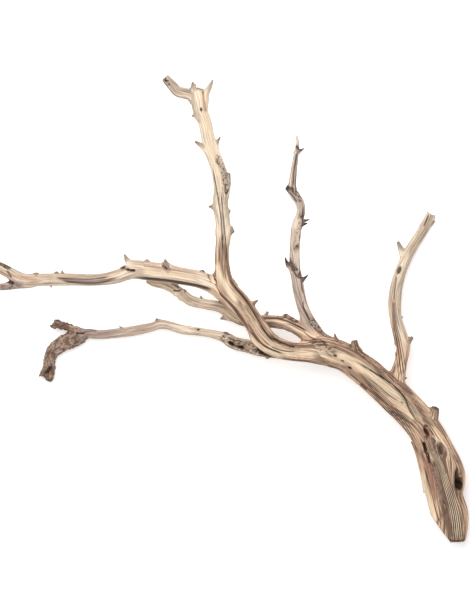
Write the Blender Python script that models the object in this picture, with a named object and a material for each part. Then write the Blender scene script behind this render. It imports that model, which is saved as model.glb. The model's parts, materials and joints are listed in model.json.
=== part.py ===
"""A branch of ghost wood, sand-blasted and barkless, lying on a table.

The branch grew as one piece. It is parted at its main forks into nine limbs, with a fine saw gap
between neighbours. Each limb is a tube with a ridged section that follows the grain, and the spurs,
knots, pits and cracks are fused to it or cut from it.

Metres, +Z up. The branch lies on z = 0 as it is seen from above, with the trunk's sawn end at the
lower right. The origin is under the middle of its outline.
"""
import math

import bmesh
import bpy
from mathutils import Vector

NAME = "ghost_wood"

SAW_GAP = 0.0003          # clear gap between two limbs at a fork
STEPS = 2                 # tube rings between two stations of a route
WELD = 0.00001            # points closer than this are one point
SLIVER = 0.000005         # edges shorter than this are left out
SHARPEST = 0.0004         # radius of the sharpest thorn's tip
FLOOR_BLOCK = 1.2         # side of the block that planes the resting spots flat
SMOOTH_ANGLE = math.radians(50)
FLAT_ANGLE = math.radians(1.5)   # faces that meet flatter than this are one face

# Stations of each limb, from its root outward: x, y, z of the pith and the radius there.
TRUNK = (
    (0.345, -0.396, 0.024, 0.0280), (0.350, -0.362, 0.026, 0.0295), (0.352, -0.331, 0.028, 0.0300),
    (0.346, -0.300, 0.028, 0.0290), (0.344, -0.267, 0.029, 0.0332), (0.333, -0.232, 0.031, 0.0304),
    (0.315, -0.196, 0.037, 0.0280), (0.289, -0.161, 0.042, 0.0268), (0.251, -0.127, 0.048, 0.0248),
    (0.218, -0.099, 0.053, 0.0236), (0.187, -0.079, 0.058, 0.0238), (0.159, -0.067, 0.061, 0.0224),
    (0.130, -0.061, 0.062, 0.0180), (0.112, -0.057, 0.062, 0.0120),
)
MAIN_AND_TALL = (
    (0.162, -0.078, 0.062, 0.0120), (0.130, -0.071, 0.066, 0.0150), (0.098, -0.067, 0.073, 0.0152),
    (0.066, -0.056, 0.080, 0.0156), (0.043, -0.028, 0.087, 0.0158), (0.020, 0.006, 0.093, 0.0160),
    (-0.005, 0.036, 0.097, 0.0156), (-0.010, 0.066, 0.098, 0.0120), (-0.010, 0.094, 0.099, 0.0110),
    (-0.008, 0.115, 0.100, 0.0112), (-0.009, 0.139, 0.102, 0.0116), (-0.013, 0.170, 0.103, 0.0122),
    (-0.011, 0.190, 0.104, 0.0124), (-0.013, 0.210, 0.104, 0.0124), (-0.020, 0.234, 0.103, 0.0116),
    (-0.028, 0.254, 0.101, 0.0110), (-0.034, 0.275, 0.099, 0.0102), (-0.038, 0.296, 0.096, 0.0104),
    (-0.045, 0.314, 0.093, 0.0114), (-0.048, 0.332, 0.090, 0.0120), (-0.051, 0.347, 0.088, 0.0088),
)
LIP = (
    (0.036, -0.034, 0.080, 0.0060), (0.043, -0.049, 0.077, 0.0068), (0.062, -0.064, 0.072, 0.0072),
    (0.084, -0.073, 0.068, 0.0064),
)
CROOKED_ARM = (
    (-0.044, 0.334, 0.089, 0.0080), (-0.066, 0.343, 0.086, 0.0088), (-0.081, 0.347, 0.082, 0.0084),
    (-0.091, 0.357, 0.078, 0.0082), (-0.101, 0.371, 0.075, 0.0078),
)
HORN = (
    (-0.042, 0.326, 0.091, 0.0078), (-0.037, 0.343, 0.093, 0.0058), (-0.030, 0.356, 0.095, 0.0036),
    (-0.0260, 0.365, 0.096, 0.0012),
)
LEFT = (
    (0.018, -0.004, 0.086, 0.0090), (-0.001, 0.018, 0.089, 0.0124), (-0.022, 0.036, 0.092, 0.0140),
    (-0.048, 0.046, 0.094, 0.0138), (-0.078, 0.052, 0.093, 0.0138), (-0.102, 0.0575, 0.090, 0.0148),
    (-0.126, 0.060, 0.086, 0.0146), (-0.150, 0.061, 0.082, 0.0134), (-0.164, 0.057, 0.080, 0.0118),
    (-0.178, 0.052, 0.078, 0.0106), (-0.198, 0.048, 0.075, 0.0096), (-0.222, 0.0465, 0.072, 0.0092),
    (-0.246, 0.047, 0.069, 0.0094), (-0.270, 0.047, 0.066, 0.0098), (-0.298, 0.047, 0.063, 0.0098),
    (-0.328, 0.047, 0.060, 0.0100), (-0.349, 0.057, 0.058, 0.0094), (-0.366, 0.066, 0.055, 0.0088),
    (-0.383, 0.075, 0.052, 0.0060),
)
LEFT_STUB = ((-0.140, 0.066, 0.086, 0.0110), (-0.164, 0.071, 0.084, 0.0082))
END_TWIG = (
    (-0.318, 0.043, 0.060, 0.0066), (-0.340, 0.038, 0.054, 0.0052), (-0.362, 0.0350, 0.048, 0.0042),
    (-0.381, 0.036, 0.043, 0.0026),
)
BACK = (
    (0.154, -0.060, 0.050, 0.0100), (0.134, -0.048, 0.050, 0.0112), (0.118, -0.036, 0.049, 0.0110),
    (0.098, -0.025, 0.047, 0.0106), (0.078, -0.021, 0.045, 0.0104), (0.058, -0.020, 0.043, 0.0102),
    (0.036, -0.020, 0.041, 0.0102), (0.018, -0.015, 0.039, 0.0104), (0.004, -0.007, 0.037, 0.0102),
    (-0.014, 0.003, 0.036, 0.0092), (-0.038, 0.008, 0.036, 0.0084), (-0.062, 0.014, 0.038, 0.0088),
    (-0.080, 0.026, 0.041, 0.0086), (-0.102, 0.037, 0.044, 0.0076), (-0.121, 0.042, 0.047, 0.0058),
    (-0.130, 0.044, 0.048, 0.0030),
)
LOW = (
    (0.134, -0.072, 0.048, 0.0100), (0.104, -0.073, 0.043, 0.0102), (0.078, -0.069, 0.038, 0.0106),
    (0.052, -0.0655, 0.034, 0.0110), (0.030, -0.0597, 0.030, 0.0106), (0.010, -0.055, 0.027, 0.0104),
    (-0.004, -0.047, 0.025, 0.0088), (-0.026, -0.0403, 0.023, 0.0068), (-0.050, -0.0363, 0.021, 0.0066),
    (-0.076, -0.0325, 0.019, 0.0072), (-0.094, -0.0272, 0.018, 0.0070), (-0.110, -0.0245, 0.017, 0.0072),
    (-0.124, -0.029, 0.016, 0.0070), (-0.146, -0.034, 0.0155, 0.0078), (-0.174, -0.038, 0.015, 0.0076),
    (-0.206, -0.041, 0.014, 0.0072), (-0.226, -0.040, 0.013, 0.0078), (-0.238, -0.044, 0.0125, 0.0100),
    (-0.254, -0.051, 0.0110, 0.0128), (-0.270, -0.058, 0.0098, 0.0124), (-0.282, -0.067, 0.0098, 0.0110),
    (-0.287, -0.080, 0.0098, 0.0094), (-0.289, -0.095, 0.0100, 0.0092), (-0.293, -0.110, 0.0102, 0.0100),
)
BARKED_ARM = (
    (-0.240, -0.038, 0.014, 0.0070), (-0.259, -0.029, 0.015, 0.0064), (-0.272, -0.025, 0.016, 0.0062),
    (-0.281, -0.022, 0.017, 0.0056),
)
MIDDLE = (
    (0.152, -0.060, 0.050, 0.0120), (0.139, -0.040, 0.052, 0.0120), (0.126, -0.018, 0.056, 0.0104),
    (0.117, 0.004, 0.060, 0.0094), (0.112, 0.026, 0.063, 0.0092), (0.109, 0.046, 0.065, 0.0090),
    (0.106, 0.064, 0.068, 0.0084), (0.105, 0.086, 0.070, 0.0080), (0.1055, 0.110, 0.072, 0.0080),
    (0.108, 0.134, 0.073, 0.0076), (0.114, 0.156, 0.074, 0.0074), (0.1115, 0.171, 0.075, 0.0074),
    (0.1015, 0.188, 0.076, 0.0070), (0.102, 0.208, 0.077, 0.0056), (0.106, 0.238, 0.079, 0.0044),
    (0.1085, 0.254, 0.080, 0.0040), (0.1095, 0.275, 0.081, 0.0022),
)
RIGHT = (
    (0.262, -0.138, 0.044, 0.0160), (0.269, -0.111, 0.043, 0.0140), (0.2745, -0.086, 0.040, 0.0108),
    (0.279, -0.064, 0.037, 0.0116), (0.276, -0.044, 0.034, 0.0118), (0.2695, -0.020, 0.030, 0.0108),
    (0.2665, 0.004, 0.026, 0.0102), (0.2685, 0.030, 0.022, 0.0100), (0.2735, 0.054, 0.018, 0.0096),
    (0.282, 0.076, 0.014, 0.0090), (0.292, 0.096, 0.0105, 0.0086), (0.303, 0.113, 0.0078, 0.0084),
    (0.314, 0.131, 0.0066, 0.0084), (0.3235, 0.150, 0.0070, 0.0074),
)

# Where each limb is parted from the one below it: a point on its pith, the way it grows there, and
# the side of a block that holds everything below the cut and nothing beyond it.
MAIN_FORK = ((0.100, -0.066, 0.0725), (-1.0, 0.10, 0.22), 0.12)
UPPER_FORK = ((-0.010, 0.070, 0.098), (0.0, 1.0, 0.03), 0.5)
LEFT_FORK = ((-0.036, 0.0465, 0.096), (-1.0, 0.12, 0.0), 0.07)
BACK_FORK = ((0.103, -0.029, 0.0475), (-1.0, 0.50, -0.1), 0.10)
LOW_FORK = ((0.097, -0.0725, 0.042), (-1.0, 0.08, -0.18), 0.07)
BARK_EDGE = ((-0.226, -0.040, 0.013), (-1.0, -0.15, 0.0), 0.5)
MIDDLE_FORK = ((0.130, -0.021, 0.0555), (-0.45, 1.0, 0.16), 0.09)
RIGHT_FORK = ((0.2755, -0.089, 0.0405), (0.15, 1.0, -0.12), 0.10)

# Sections: how many sides, then each set of ridges as a count, a height and a turn.
GNARLED = (18, ((3, 0.03, 0.4), (5, 0.05, 1.2), (9, 0.035, 0.0)))
CORDED = (12, ((3, 0.03, 1.0), (5, 0.06, 0.3)))
SMOOTH = (10, ((2, 0.04, 0.0), (4, 0.05, 0.8)))
THIN = (8, ((2, 0.05, 0.4), (3, 0.04, 1.0)))

# How far the ridges wind round each limb from its root to its tip, in radians.
TRUNK_WIND = 0.9
MAIN_WIND = 1.2
LEFT_WIND = 0.8
BACK_WIND = 0.9
LOW_WIND = 1.4
MIDDLE_WIND = 1.6
RIGHT_WIND = 1.0

# Broken twigs and thorns: root, tip and the radius at the root. A blunt one keeps part of it.
TRUNK_SPURS = (
    ((0.171, -0.056, 0.066), (0.169, -0.040, 0.070), 0.0055, 0.2),
    ((0.203, -0.068, 0.062), (0.200, -0.050, 0.066), 0.0090, 0.5),
    ((0.320, -0.174, 0.046), (0.331, -0.158, 0.052), 0.0110, 0.55),
    ((0.350, -0.262, 0.038), (0.372, -0.272, 0.040), 0.0220, 0.55),
    ((0.272, -0.118, 0.040), (0.2845, -0.110, 0.042), 0.0040, 0.2),
)
MAIN_SPURS = (
    ((0.034, 0.003, 0.092), (0.0465, 0.0145, 0.094), 0.0076, 0.12),
    ((0.000, 0.036, 0.094), (0.0095, 0.042, 0.094), 0.0070, 0.6),
)
TALL_SPURS = (
    ((-0.038, 0.256, 0.103), (-0.054, 0.267, 0.106), 0.0052, 0.35),
    ((-0.024, 0.256, 0.102), (-0.014, 0.274, 0.104), 0.0060, 0.15),
    ((-0.048, 0.307, 0.095), (-0.058, 0.308, 0.096), 0.0050, 0.3),
    ((-0.050, 0.331, 0.090), (-0.062, 0.330, 0.090), 0.0046, 0.6),
    ((-0.018, 0.162, 0.104), (-0.031, 0.163, 0.106), 0.0060, 0.3),
    ((-0.010, 0.154, 0.103), (0.002, 0.157, 0.104), 0.0048, 0.4),
    ((-0.006, 0.124, 0.101), (0.007, 0.127, 0.102), 0.0090, 0.55),
    ((-0.006, 0.190, 0.104), (-0.002, 0.216, 0.104), 0.0060, 0.7),
    ((-0.050, 0.342, 0.089), (-0.060, 0.364, 0.090), 0.0084, 0.1),
    ((-0.050, 0.342, 0.089), (-0.047, 0.354, 0.089), 0.0080, 0.6),
)
LEFT_SPURS = (
    ((-0.156, 0.069, 0.084), (-0.1665, 0.0865, 0.086), 0.0072, 0.2),
    ((-0.160, 0.064, 0.085), (-0.169, 0.067, 0.087), 0.0050, 0.6),
    ((-0.131, 0.069, 0.088), (-0.1305, 0.0815, 0.089), 0.0076, 0.15),
    ((-0.100, 0.063, 0.096), (-0.1015, 0.0795, 0.099), 0.0080, 0.15),
    ((-0.044, 0.053, 0.098), (-0.0405, 0.0635, 0.100), 0.0070, 0.15),
    ((-0.308, 0.050, 0.064), (-0.3085, 0.0595, 0.065), 0.0056, 0.3),
    ((-0.276, 0.051, 0.067), (-0.276, 0.0620, 0.068), 0.0056, 0.3),
    ((-0.266, 0.051, 0.068), (-0.2665, 0.0630, 0.069), 0.0056, 0.2),
    ((-0.285, 0.041, 0.062), (-0.284, 0.035, 0.061), 0.0034, 0.3),
)
BACK_SPURS = (
    ((0.056, -0.015, 0.045), (0.0630, -0.0030, 0.047), 0.0046, 0.35),
    ((0.095, -0.019, 0.049), (0.090, -0.0065, 0.051), 0.0080, 0.2),
    ((-0.074, 0.022, 0.043), (-0.0695, 0.0305, 0.045), 0.0040, 0.4),
    ((-0.045, 0.011, 0.038), (-0.045, 0.0205, 0.039), 0.0036, 0.3),
    ((-0.083, 0.028, 0.044), (-0.086, 0.041, 0.046), 0.0060, 0.5),
    ((0.004, -0.011, 0.035), (-0.013, -0.0155, 0.035), 0.0074, 0.2),
)
LOW_SPURS = (
    ((0.058, -0.069, 0.036), (0.062, -0.0795, 0.036), 0.0044, 0.4),
    ((-0.111, -0.023, 0.019), (-0.117, -0.0165, 0.021), 0.0044, 0.5),
    ((-0.165, -0.034, 0.017), (-0.176, -0.028, 0.019), 0.0026, 0.4),
    ((-0.002, -0.048, 0.029), (-0.005, -0.039, 0.031), 0.0058, 0.6),
)
BARK_SPURS = (
    ((-0.274, -0.024, 0.016), (-0.284, -0.028, 0.017), 0.0046, 0.3),
    ((-0.274, -0.025, 0.017), (-0.2745, -0.0165, 0.018), 0.0048, 0.4),
    ((-0.291, -0.100, 0.010), (-0.303, -0.105, 0.010), 0.0060, 0.3),
    ((-0.290, -0.104, 0.010), (-0.290, -0.115, 0.009), 0.0076, 0.5),
    ((-0.242, -0.045, 0.013), (-0.237, -0.054, 0.013), 0.0090, 0.5),
)
MIDDLE_SPURS = (
    ((0.108, 0.249, 0.080), (0.1200, 0.2565, 0.081), 0.0040, 0.15),
    ((0.101, 0.189, 0.077), (0.0915, 0.194, 0.078), 0.0058, 0.6),
    ((0.113, 0.139, 0.074), (0.1285, 0.143, 0.076), 0.0058, 0.1),
    ((0.111, 0.131, 0.074), (0.1245, 0.137, 0.073), 0.0046, 0.2),
    ((0.109, 0.098, 0.076), (0.110, 0.102, 0.083), 0.0052, 0.7),
    ((0.102, 0.064, 0.070), (0.0900, 0.082, 0.073), 0.0066, 0.1),
    ((0.112, 0.044, 0.067), (0.1260, 0.0545, 0.069), 0.0066, 0.1),
)
RIGHT_SPURS = (
    ((0.280, 0.088, 0.013), (0.2710, 0.108, 0.014), 0.0060, 0.4),
    ((0.279, -0.057, 0.037), (0.2935, -0.0455, 0.039), 0.0090, 0.2),
    ((0.268, -0.015, 0.031), (0.2785, -0.013, 0.033), 0.0026, 0.3),
    ((0.317, 0.136, 0.007), (0.3280, 0.1420, 0.007), 0.0048, 0.7),
)

# Pits and cracks: middle, the way the grain runs through them, length, width and depth.
TRUNK_PITS = (
    ((0.3690, -0.2740, 0.052), (0.10, -1.0, -0.05), 0.038, 0.0135, 0.040),
    ((0.3150, -0.1960, 0.065), (0.20, -1.0, -0.05), 0.018, 0.0070, 0.014),
    ((0.3130, -0.2200, 0.061), (0.15, -1.0, -0.05), 0.014, 0.0050, 0.012),
    ((0.3360, -0.2230, 0.064), (0.50, -1.0, -0.05), 0.032, 0.0130, 0.012),
    ((0.2760, -0.1500, 0.067), (0.60, -1.0, -0.10), 0.006, 0.0040, 0.008),
    ((0.1680, -0.0740, 0.083), (1.00, -0.40, -0.05), 0.005, 0.0026, 0.008),
    ((0.1810, -0.0820, 0.080), (1.00, -0.50, -0.05), 0.005, 0.0026, 0.008),
    ((0.1930, -0.0930, 0.077), (1.00, -0.60, -0.10), 0.007, 0.0030, 0.008),
)
MAIN_PITS = (
    ((0.0860, -0.0530, 0.088), (1.0, -0.45, -0.20), 0.028, 0.0024, 0.012),
    ((-0.0190, 0.0430, 0.109), (0.20, 1.0, 0.0), 0.006, 0.0040, 0.006),
)
TALL_PITS = (
    ((-0.0040, 0.1910, 0.115), (0.10, 1.0, 0.0), 0.010, 0.0050, 0.012),
    ((-0.0440, 0.3180, 0.104), (0.20, 1.0, -0.1), 0.005, 0.0034, 0.008),
    ((-0.0160, 0.1800, 0.116), (-0.06, 1.0, 0.0), 0.090, 0.0026, 0.010),
)
LEFT_PITS = (
    ((-0.0995, 0.0660, 0.105), (1.0, 0.3, 0.0), 0.006, 0.0040, 0.010),
    ((-0.1560, 0.0620, 0.096), (1.0, 0.1, 0.0), 0.014, 0.0030, 0.012),
)
BACK_PITS = (
    ((0.0125, -0.0110, 0.048), (1.0, -0.6, 0.0), 0.007, 0.0044, 0.008),
    ((-0.0840, 0.0290, 0.051), (1.0, -0.4, 0.0), 0.006, 0.0036, 0.006),
)
LOW_PITS = (
    ((0.0040, -0.0550, 0.037), (1.0, -0.5, 0.1), 0.010, 0.0050, 0.010),
    ((0.0190, -0.0610, 0.040), (1.0, -0.2, 0.1), 0.009, 0.0050, 0.010),
    ((-0.0500, -0.0330, 0.028), (1.0, 0.0, 0.0), 0.005, 0.0034, 0.006),
)
BARK_PITS = (
    ((-0.2440, -0.0400, 0.024), (1.0, 0.1, 0.0), 0.016, 0.0022, 0.010),
    ((-0.2930, -0.1130, 0.012), (0.15, 1.0, 0.0), 0.016, 0.0090, 0.012),
    ((-0.2880, -0.0990, 0.020), (0.10, 1.0, 0.0), 0.009, 0.0050, 0.006),
)
MIDDLE_PITS = (
    ((0.1220, 0.0000, 0.072), (-0.35, 1.0, 0.1), 0.036, 0.0020, 0.010),
    ((0.1090, 0.1000, 0.083), (0.0, 1.0, 0.0), 0.004, 0.0030, 0.006),
)
RIGHT_PITS = (
    ((0.2720, 0.0630, 0.026), (0.30, 1.0, -0.1), 0.009, 0.0048, 0.008),
    ((0.3190, 0.1440, 0.0145), (0.50, 1.0, 0.0), 0.022, 0.0030, 0.010),
)

# The trunk's end: a slanting cut on the left and a short straight one, each a point and its outward way.
SLANT_CUT = ((0.338, -0.3475, 0.028), (-0.78, -0.62, -0.12))
END_CUT = ((0.368, -0.3705, 0.028), (-0.10, -1.0, -0.20))
CUT_BLOCK = 0.16          # side of the block that each of the two cuts takes away

LEDGE = ((0.2995, -0.2160, 0.036), (0.3160, -0.2950, 0.028))      # torn strip on the trunk's left edge
WIDE_PIT = 0.010          # a wider pit than this is cut with a rounder tool
LEDGE_WIDTH = 0.0100
LEDGE_THICKNESS = 0.0140

# Colours are linear: pale stripped wood, greyed wood, warm ridged wood and bark.
PALE_WOOD = (0.72, 0.52, 0.33)
WARM_WOOD = (0.52, 0.34, 0.21)
GREY_WOOD = (0.46, 0.35, 0.26)
BARK = (0.26, 0.19, 0.13)
WOOD_ROUGHNESS = 0.75
BARK_ROUGHNESS = 0.92


def clear_scene():
    """Remove everything that the scene starts with."""
    for item in list(bpy.data.objects):
        bpy.data.objects.remove(item, do_unlink=True)


def new_collection(name):
    """A collection linked to the scene."""
    collection = bpy.data.collections.new(name)
    bpy.context.scene.collection.children.link(collection)
    return collection


def wood(name, colour, roughness):
    """A plain matt wood material."""
    material = bpy.data.materials.new(name)
    material.use_nodes = True
    shader = material.node_tree.nodes["Principled BSDF"]
    shader.inputs["Base Color"].default_value = (*colour, 1.0)
    shader.inputs["Roughness"].default_value = roughness
    shader.inputs["Metallic"].default_value = 0.0
    return material


def ridged_section(name, sides, ridges, collection):
    """A closed outline of radius one whose ridges stand between hollows, used along a tube.

    Each of the ridges is a wave count, a height and a phase.
    """
    data = bpy.data.curves.new(name, "CURVE")
    data.dimensions = "2D"
    outline = data.splines.new("POLY")
    outline.points.add(sides - 1)
    for index, point in enumerate(outline.points):
        angle = math.tau * index / sides
        radius = 1.0 + sum(height * math.cos(count * angle + phase) for count, height, phase in ridges)
        point.co = (radius * math.cos(angle), radius * math.sin(angle), 0.0, 1.0)
    outline.use_cyclic_u = True
    section = bpy.data.objects.new(name, data)
    section.hide_render = True
    section.display_type = "WIRE"
    collection.objects.link(section)
    return section


def mesh_object(name, mesh):
    """An object for a mesh, linked to the scene."""
    item = bpy.data.objects.new(name, mesh)
    bpy.context.scene.collection.objects.link(item)
    return item


def tube(name, route, section, wind=0.0):
    """A closed tube through the stations of a route, with its ridges winding round it by an angle."""
    data = bpy.data.curves.new(name, "CURVE")
    data.dimensions = "3D"
    data.twist_mode = "Z_UP"
    data.resolution_u = STEPS
    data.bevel_mode = "OBJECT"
    data.bevel_object = section
    data.use_fill_caps = True
    spline = data.splines.new("BEZIER")
    spline.bezier_points.add(len(route) - 1)
    spline.radius_interpolation = "CARDINAL"
    for index, (point, station) in enumerate(zip(spline.bezier_points, route)):
        point.co = station[:3]
        point.radius = station[3]
        point.tilt = wind * index / (len(route) - 1)
        point.handle_left_type = "AUTO"
        point.handle_right_type = "AUTO"
    curve = mesh_object(name, data)
    bpy.context.view_layer.update()
    shape = curve.evaluated_get(bpy.context.evaluated_depsgraph_get())
    mesh = bpy.data.meshes.new_from_object(shape)
    bm = bmesh.new()
    bm.from_mesh(mesh)
    bmesh.ops.remove_doubles(bm, verts=bm.verts, dist=WELD)
    bmesh.ops.recalc_face_normals(bm, faces=bm.faces)
    bm.to_mesh(mesh)
    bm.free()
    solid = mesh_object(name, mesh)
    solid.matrix_world = curve.matrix_world.copy()
    bpy.data.objects.remove(curve, do_unlink=True)
    return solid


def boolean(target, tool, operation):
    """Join a tool to a target, or cut it away, and drop the tool."""
    modifier = target.modifiers.new(operation.lower(), "BOOLEAN")
    modifier.operation = operation
    modifier.solver = "EXACT"
    modifier.object = tool
    bpy.context.view_layer.update()
    shape = target.evaluated_get(bpy.context.evaluated_depsgraph_get())
    mesh = bpy.data.meshes.new_from_object(shape)
    target.modifiers.clear()
    target.data = mesh
    bpy.data.objects.remove(tool, do_unlink=True)
    return target


def fuse(target, *others):
    """Grow every other solid into the target."""
    for other in others:
        boolean(target, other, "UNION")
    return target


def cut(target, *tools):
    """Take every tool's shape out of the target."""
    for tool in tools:
        boolean(target, tool, "DIFFERENCE")
    return target


def block(at, outward, side):
    """A cube whose face touches a point and whose body lies outward of it."""
    outward = Vector(outward).normalized()
    bm = bmesh.new()
    bmesh.ops.create_cube(bm, size=side)
    mesh = bpy.data.meshes.new("block")
    bm.to_mesh(mesh)
    bm.free()
    cube = mesh_object("block", mesh)
    cube.rotation_mode = "QUATERNION"
    cube.rotation_quaternion = outward.to_track_quat("Z", "Y")
    cube.location = Vector(at) + outward * side / 2.0
    return cube


def copy_of(item):
    """A second solid of the same shape."""
    return mesh_object(item.name + "_copy", item.data.copy())


def sawn(limb, fork):
    """Part a limb at a fork into its root and the rest, with the saw gap between them."""
    at, onward, reach = fork
    back = -Vector(onward)
    root = boolean(copy_of(limb), block(at, back, reach), "INTERSECT")
    past = Vector(at) + Vector(onward).normalized() * SAW_GAP
    rest = boolean(limb, block(past, back, reach), "DIFFERENCE")
    return root, rest


def spur(root, tip, radius, bluntness, sides=6):
    """A broken twig: a short cone that leans from its root to its tip."""
    root = Vector(root)
    tip = Vector(tip)
    way = tip - root
    bm = bmesh.new()
    bmesh.ops.create_cone(
        bm, cap_ends=True, segments=sides, radius1=radius, radius2=max(radius * bluntness, SHARPEST),
        depth=way.length,
    )
    mesh = bpy.data.meshes.new("spur")
    bm.to_mesh(mesh)
    bm.free()
    cone = mesh_object("spur", mesh)
    cone.rotation_mode = "QUATERNION"
    cone.rotation_quaternion = way.to_track_quat("Z", "Y")
    cone.location = root + way / 2.0
    return cone


def pit(middle, grain, length, width, depth):
    """A pit or crack cutter, drawn out along the grain and sunk straight down."""
    grain = Vector(grain).normalized()
    bm = bmesh.new()
    bmesh.ops.create_icosphere(bm, subdivisions=2 if width > WIDE_PIT else 1, radius=0.5)
    bmesh.ops.scale(bm, vec=(width, length, depth), verts=bm.verts)
    mesh = bpy.data.meshes.new("pit")
    bm.to_mesh(mesh)
    bm.free()
    cutter = mesh_object("pit", mesh)
    cutter.rotation_mode = "QUATERNION"
    cutter.rotation_quaternion = grain.to_track_quat("Y", "Z")
    cutter.location = middle
    return cutter


def torn_ledge():
    """The flat strip of torn wood along the trunk's left edge."""
    top, bottom = (Vector(end) for end in LEDGE)
    way = bottom - top
    bm = bmesh.new()
    bmesh.ops.create_cube(bm, size=1.0)
    bmesh.ops.scale(bm, vec=(LEDGE_WIDTH, way.length, LEDGE_THICKNESS), verts=bm.verts)
    mesh = bpy.data.meshes.new("ledge")
    bm.to_mesh(mesh)
    bm.free()
    strip = mesh_object("ledge", mesh)
    strip.rotation_mode = "QUATERNION"
    strip.rotation_quaternion = way.to_track_quat("Y", "Z")
    strip.location = (top + bottom) / 2.0
    return strip


def floor():
    """The ground below the branch, which planes its resting spots flat."""
    return block((0.0, 0.0, 0.0), (0.0, 0.0, -1.0), FLOOR_BLOCK)


def skins(bm):
    """The separate closed skins of a mesh, each a list of faces."""
    left = set(bm.faces)
    found = []
    while left:
        front = [left.pop()]
        skin = list(front)
        while front:
            face = front.pop()
            near = {other for edge in face.edges for other in edge.link_faces if other in left}
            left -= near
            front.extend(near)
            skin.extend(near)
        found.append(skin)
    return found


def keep_outer_skin(bm):
    """Drop the small skins that close off a hollow or a chip, so that the limb is solid throughout."""
    for skin in sorted(skins(bm), key=len)[:-1]:
        bmesh.ops.delete(bm, geom=skin, context="FACES")


def finish(name, solid, material, collection):
    """Name a finished limb, shade it, give it its wood and put it with the others."""
    bpy.context.scene.collection.objects.unlink(solid)
    collection.objects.link(solid)
    solid.name = name
    mesh = solid.data
    mesh.name = name
    mesh.materials.clear()
    mesh.materials.append(material)
    bm = bmesh.new()
    bm.from_mesh(mesh)
    for face in bm.faces:
        face.material_index = 0
    bmesh.ops.remove_doubles(bm, verts=bm.verts, dist=SLIVER)
    bmesh.ops.dissolve_degenerate(bm, edges=bm.edges, dist=SLIVER)
    keep_outer_skin(bm)
    bmesh.ops.dissolve_limit(bm, angle_limit=FLAT_ANGLE, verts=bm.verts, edges=bm.edges)
    bmesh.ops.triangulate(bm, faces=bm.faces)
    bm.to_mesh(mesh)
    bm.free()
    mesh.shade_smooth()
    mesh.set_sharp_from_angle(angle=SMOOTH_ANGLE)
    return solid


def build():
    """Grow every limb, part the limbs at their forks and dress each with its spurs and pits."""
    clear_scene()
    limbs = new_collection(NAME)
    guides = new_collection("guides")
    pale = wood("pale_wood", PALE_WOOD, WOOD_ROUGHNESS)
    warm = wood("warm_wood", WARM_WOOD, WOOD_ROUGHNESS)
    grey = wood("grey_wood", GREY_WOOD, WOOD_ROUGHNESS)
    bark = wood("bark", BARK, BARK_ROUGHNESS)

    gnarled = ridged_section("gnarled_section", *GNARLED, guides)
    corded = ridged_section("corded_section", *CORDED, guides)
    smooth = ridged_section("smooth_section", *SMOOTH, guides)
    thin = ridged_section("thin_section", *THIN, guides)

    main_root, upper = sawn(tube("main", MAIN_AND_TALL, corded, MAIN_WIND), MAIN_FORK)
    main, tall = sawn(upper, UPPER_FORK)
    left_root, left = sawn(tube("left", LEFT, corded, LEFT_WIND), LEFT_FORK)
    back_root, back = sawn(tube("back", BACK, smooth, BACK_WIND), BACK_FORK)
    low_root, low = sawn(tube("low", LOW, smooth, LOW_WIND), LOW_FORK)
    low, barked = sawn(low, BARK_EDGE)
    middle_root, middle = sawn(tube("middle", MIDDLE, smooth, MIDDLE_WIND), MIDDLE_FORK)
    right_root, right = sawn(tube("right", RIGHT, corded, RIGHT_WIND), RIGHT_FORK)

    trunk = tube("trunk", TRUNK, gnarled, TRUNK_WIND)
    fuse(trunk, main_root, back_root, low_root, middle_root, right_root, torn_ledge())
    fuse(trunk, *(spur(*values) for values in TRUNK_SPURS))
    cut(trunk, block(*SLANT_CUT, CUT_BLOCK), block(*END_CUT, CUT_BLOCK), floor())
    cut(trunk, *(pit(*values) for values in TRUNK_PITS))
    finish("trunk", trunk, warm, limbs)

    fuse(main, left_root, tube("lip", LIP, thin), *(spur(*values) for values in MAIN_SPURS))
    cut(main, *(pit(*values) for values in MAIN_PITS))
    finish("main_limb", main, warm, limbs)

    fuse(tall, tube("arm", CROOKED_ARM, thin), tube("horn", HORN, thin))
    fuse(tall, *(spur(*values) for values in TALL_SPURS))
    cut(tall, *(pit(*values) for values in TALL_PITS))
    finish("tall_limb", tall, pale, limbs)

    fuse(left, tube("stub", LEFT_STUB, thin), tube("twig", END_TWIG, thin))
    fuse(left, *(spur(*values) for values in LEFT_SPURS))
    cut(left, *(pit(*values) for values in LEFT_PITS))
    finish("left_limb", left, pale, limbs)

    fuse(back, *(spur(*values) for values in BACK_SPURS))
    cut(back, *(pit(*values) for values in BACK_PITS))
    finish("back_limb", back, warm, limbs)

    fuse(low, *(spur(*values) for values in LOW_SPURS))
    cut(low, *(pit(*values) for values in LOW_PITS))
    finish("low_limb", low, pale, limbs)

    fuse(barked, tube("bark_arm", BARKED_ARM, thin), *(spur(*values) for values in BARK_SPURS))
    cut(barked, floor(), *(pit(*values) for values in BARK_PITS))
    finish("barked_tip", barked, bark, limbs)

    fuse(middle, *(spur(*values) for values in MIDDLE_SPURS))
    cut(middle, *(pit(*values) for values in MIDDLE_PITS))
    finish("middle_limb", middle, grey, limbs)

    fuse(right, *(spur(*values) for values in RIGHT_SPURS))
    cut(right, floor(), *(pit(*values) for values in RIGHT_PITS))
    finish("right_limb", right, pale, limbs)


build()
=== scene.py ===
"""The looks of a branch of ghost wood that lies on a pale floor and is seen from straight above.

Every limb is a fine skin round the same pith line as its solid. Cords, furrows, knots and snapped twigs are
shaped in the skin, the skins flow into each other at the forks, and the marks that the shaping leaves
(furrows, stains, bleached ridges, some painted shade and a painted highlight) are kept on the points for the
wood's colours. The limbs' sizes are given in millimetres, and what is worked out from them is in metres.
"""
import itertools
import json
import logging
import math
from dataclasses import dataclass, field
from enum import Enum
from functools import cached_property

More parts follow.
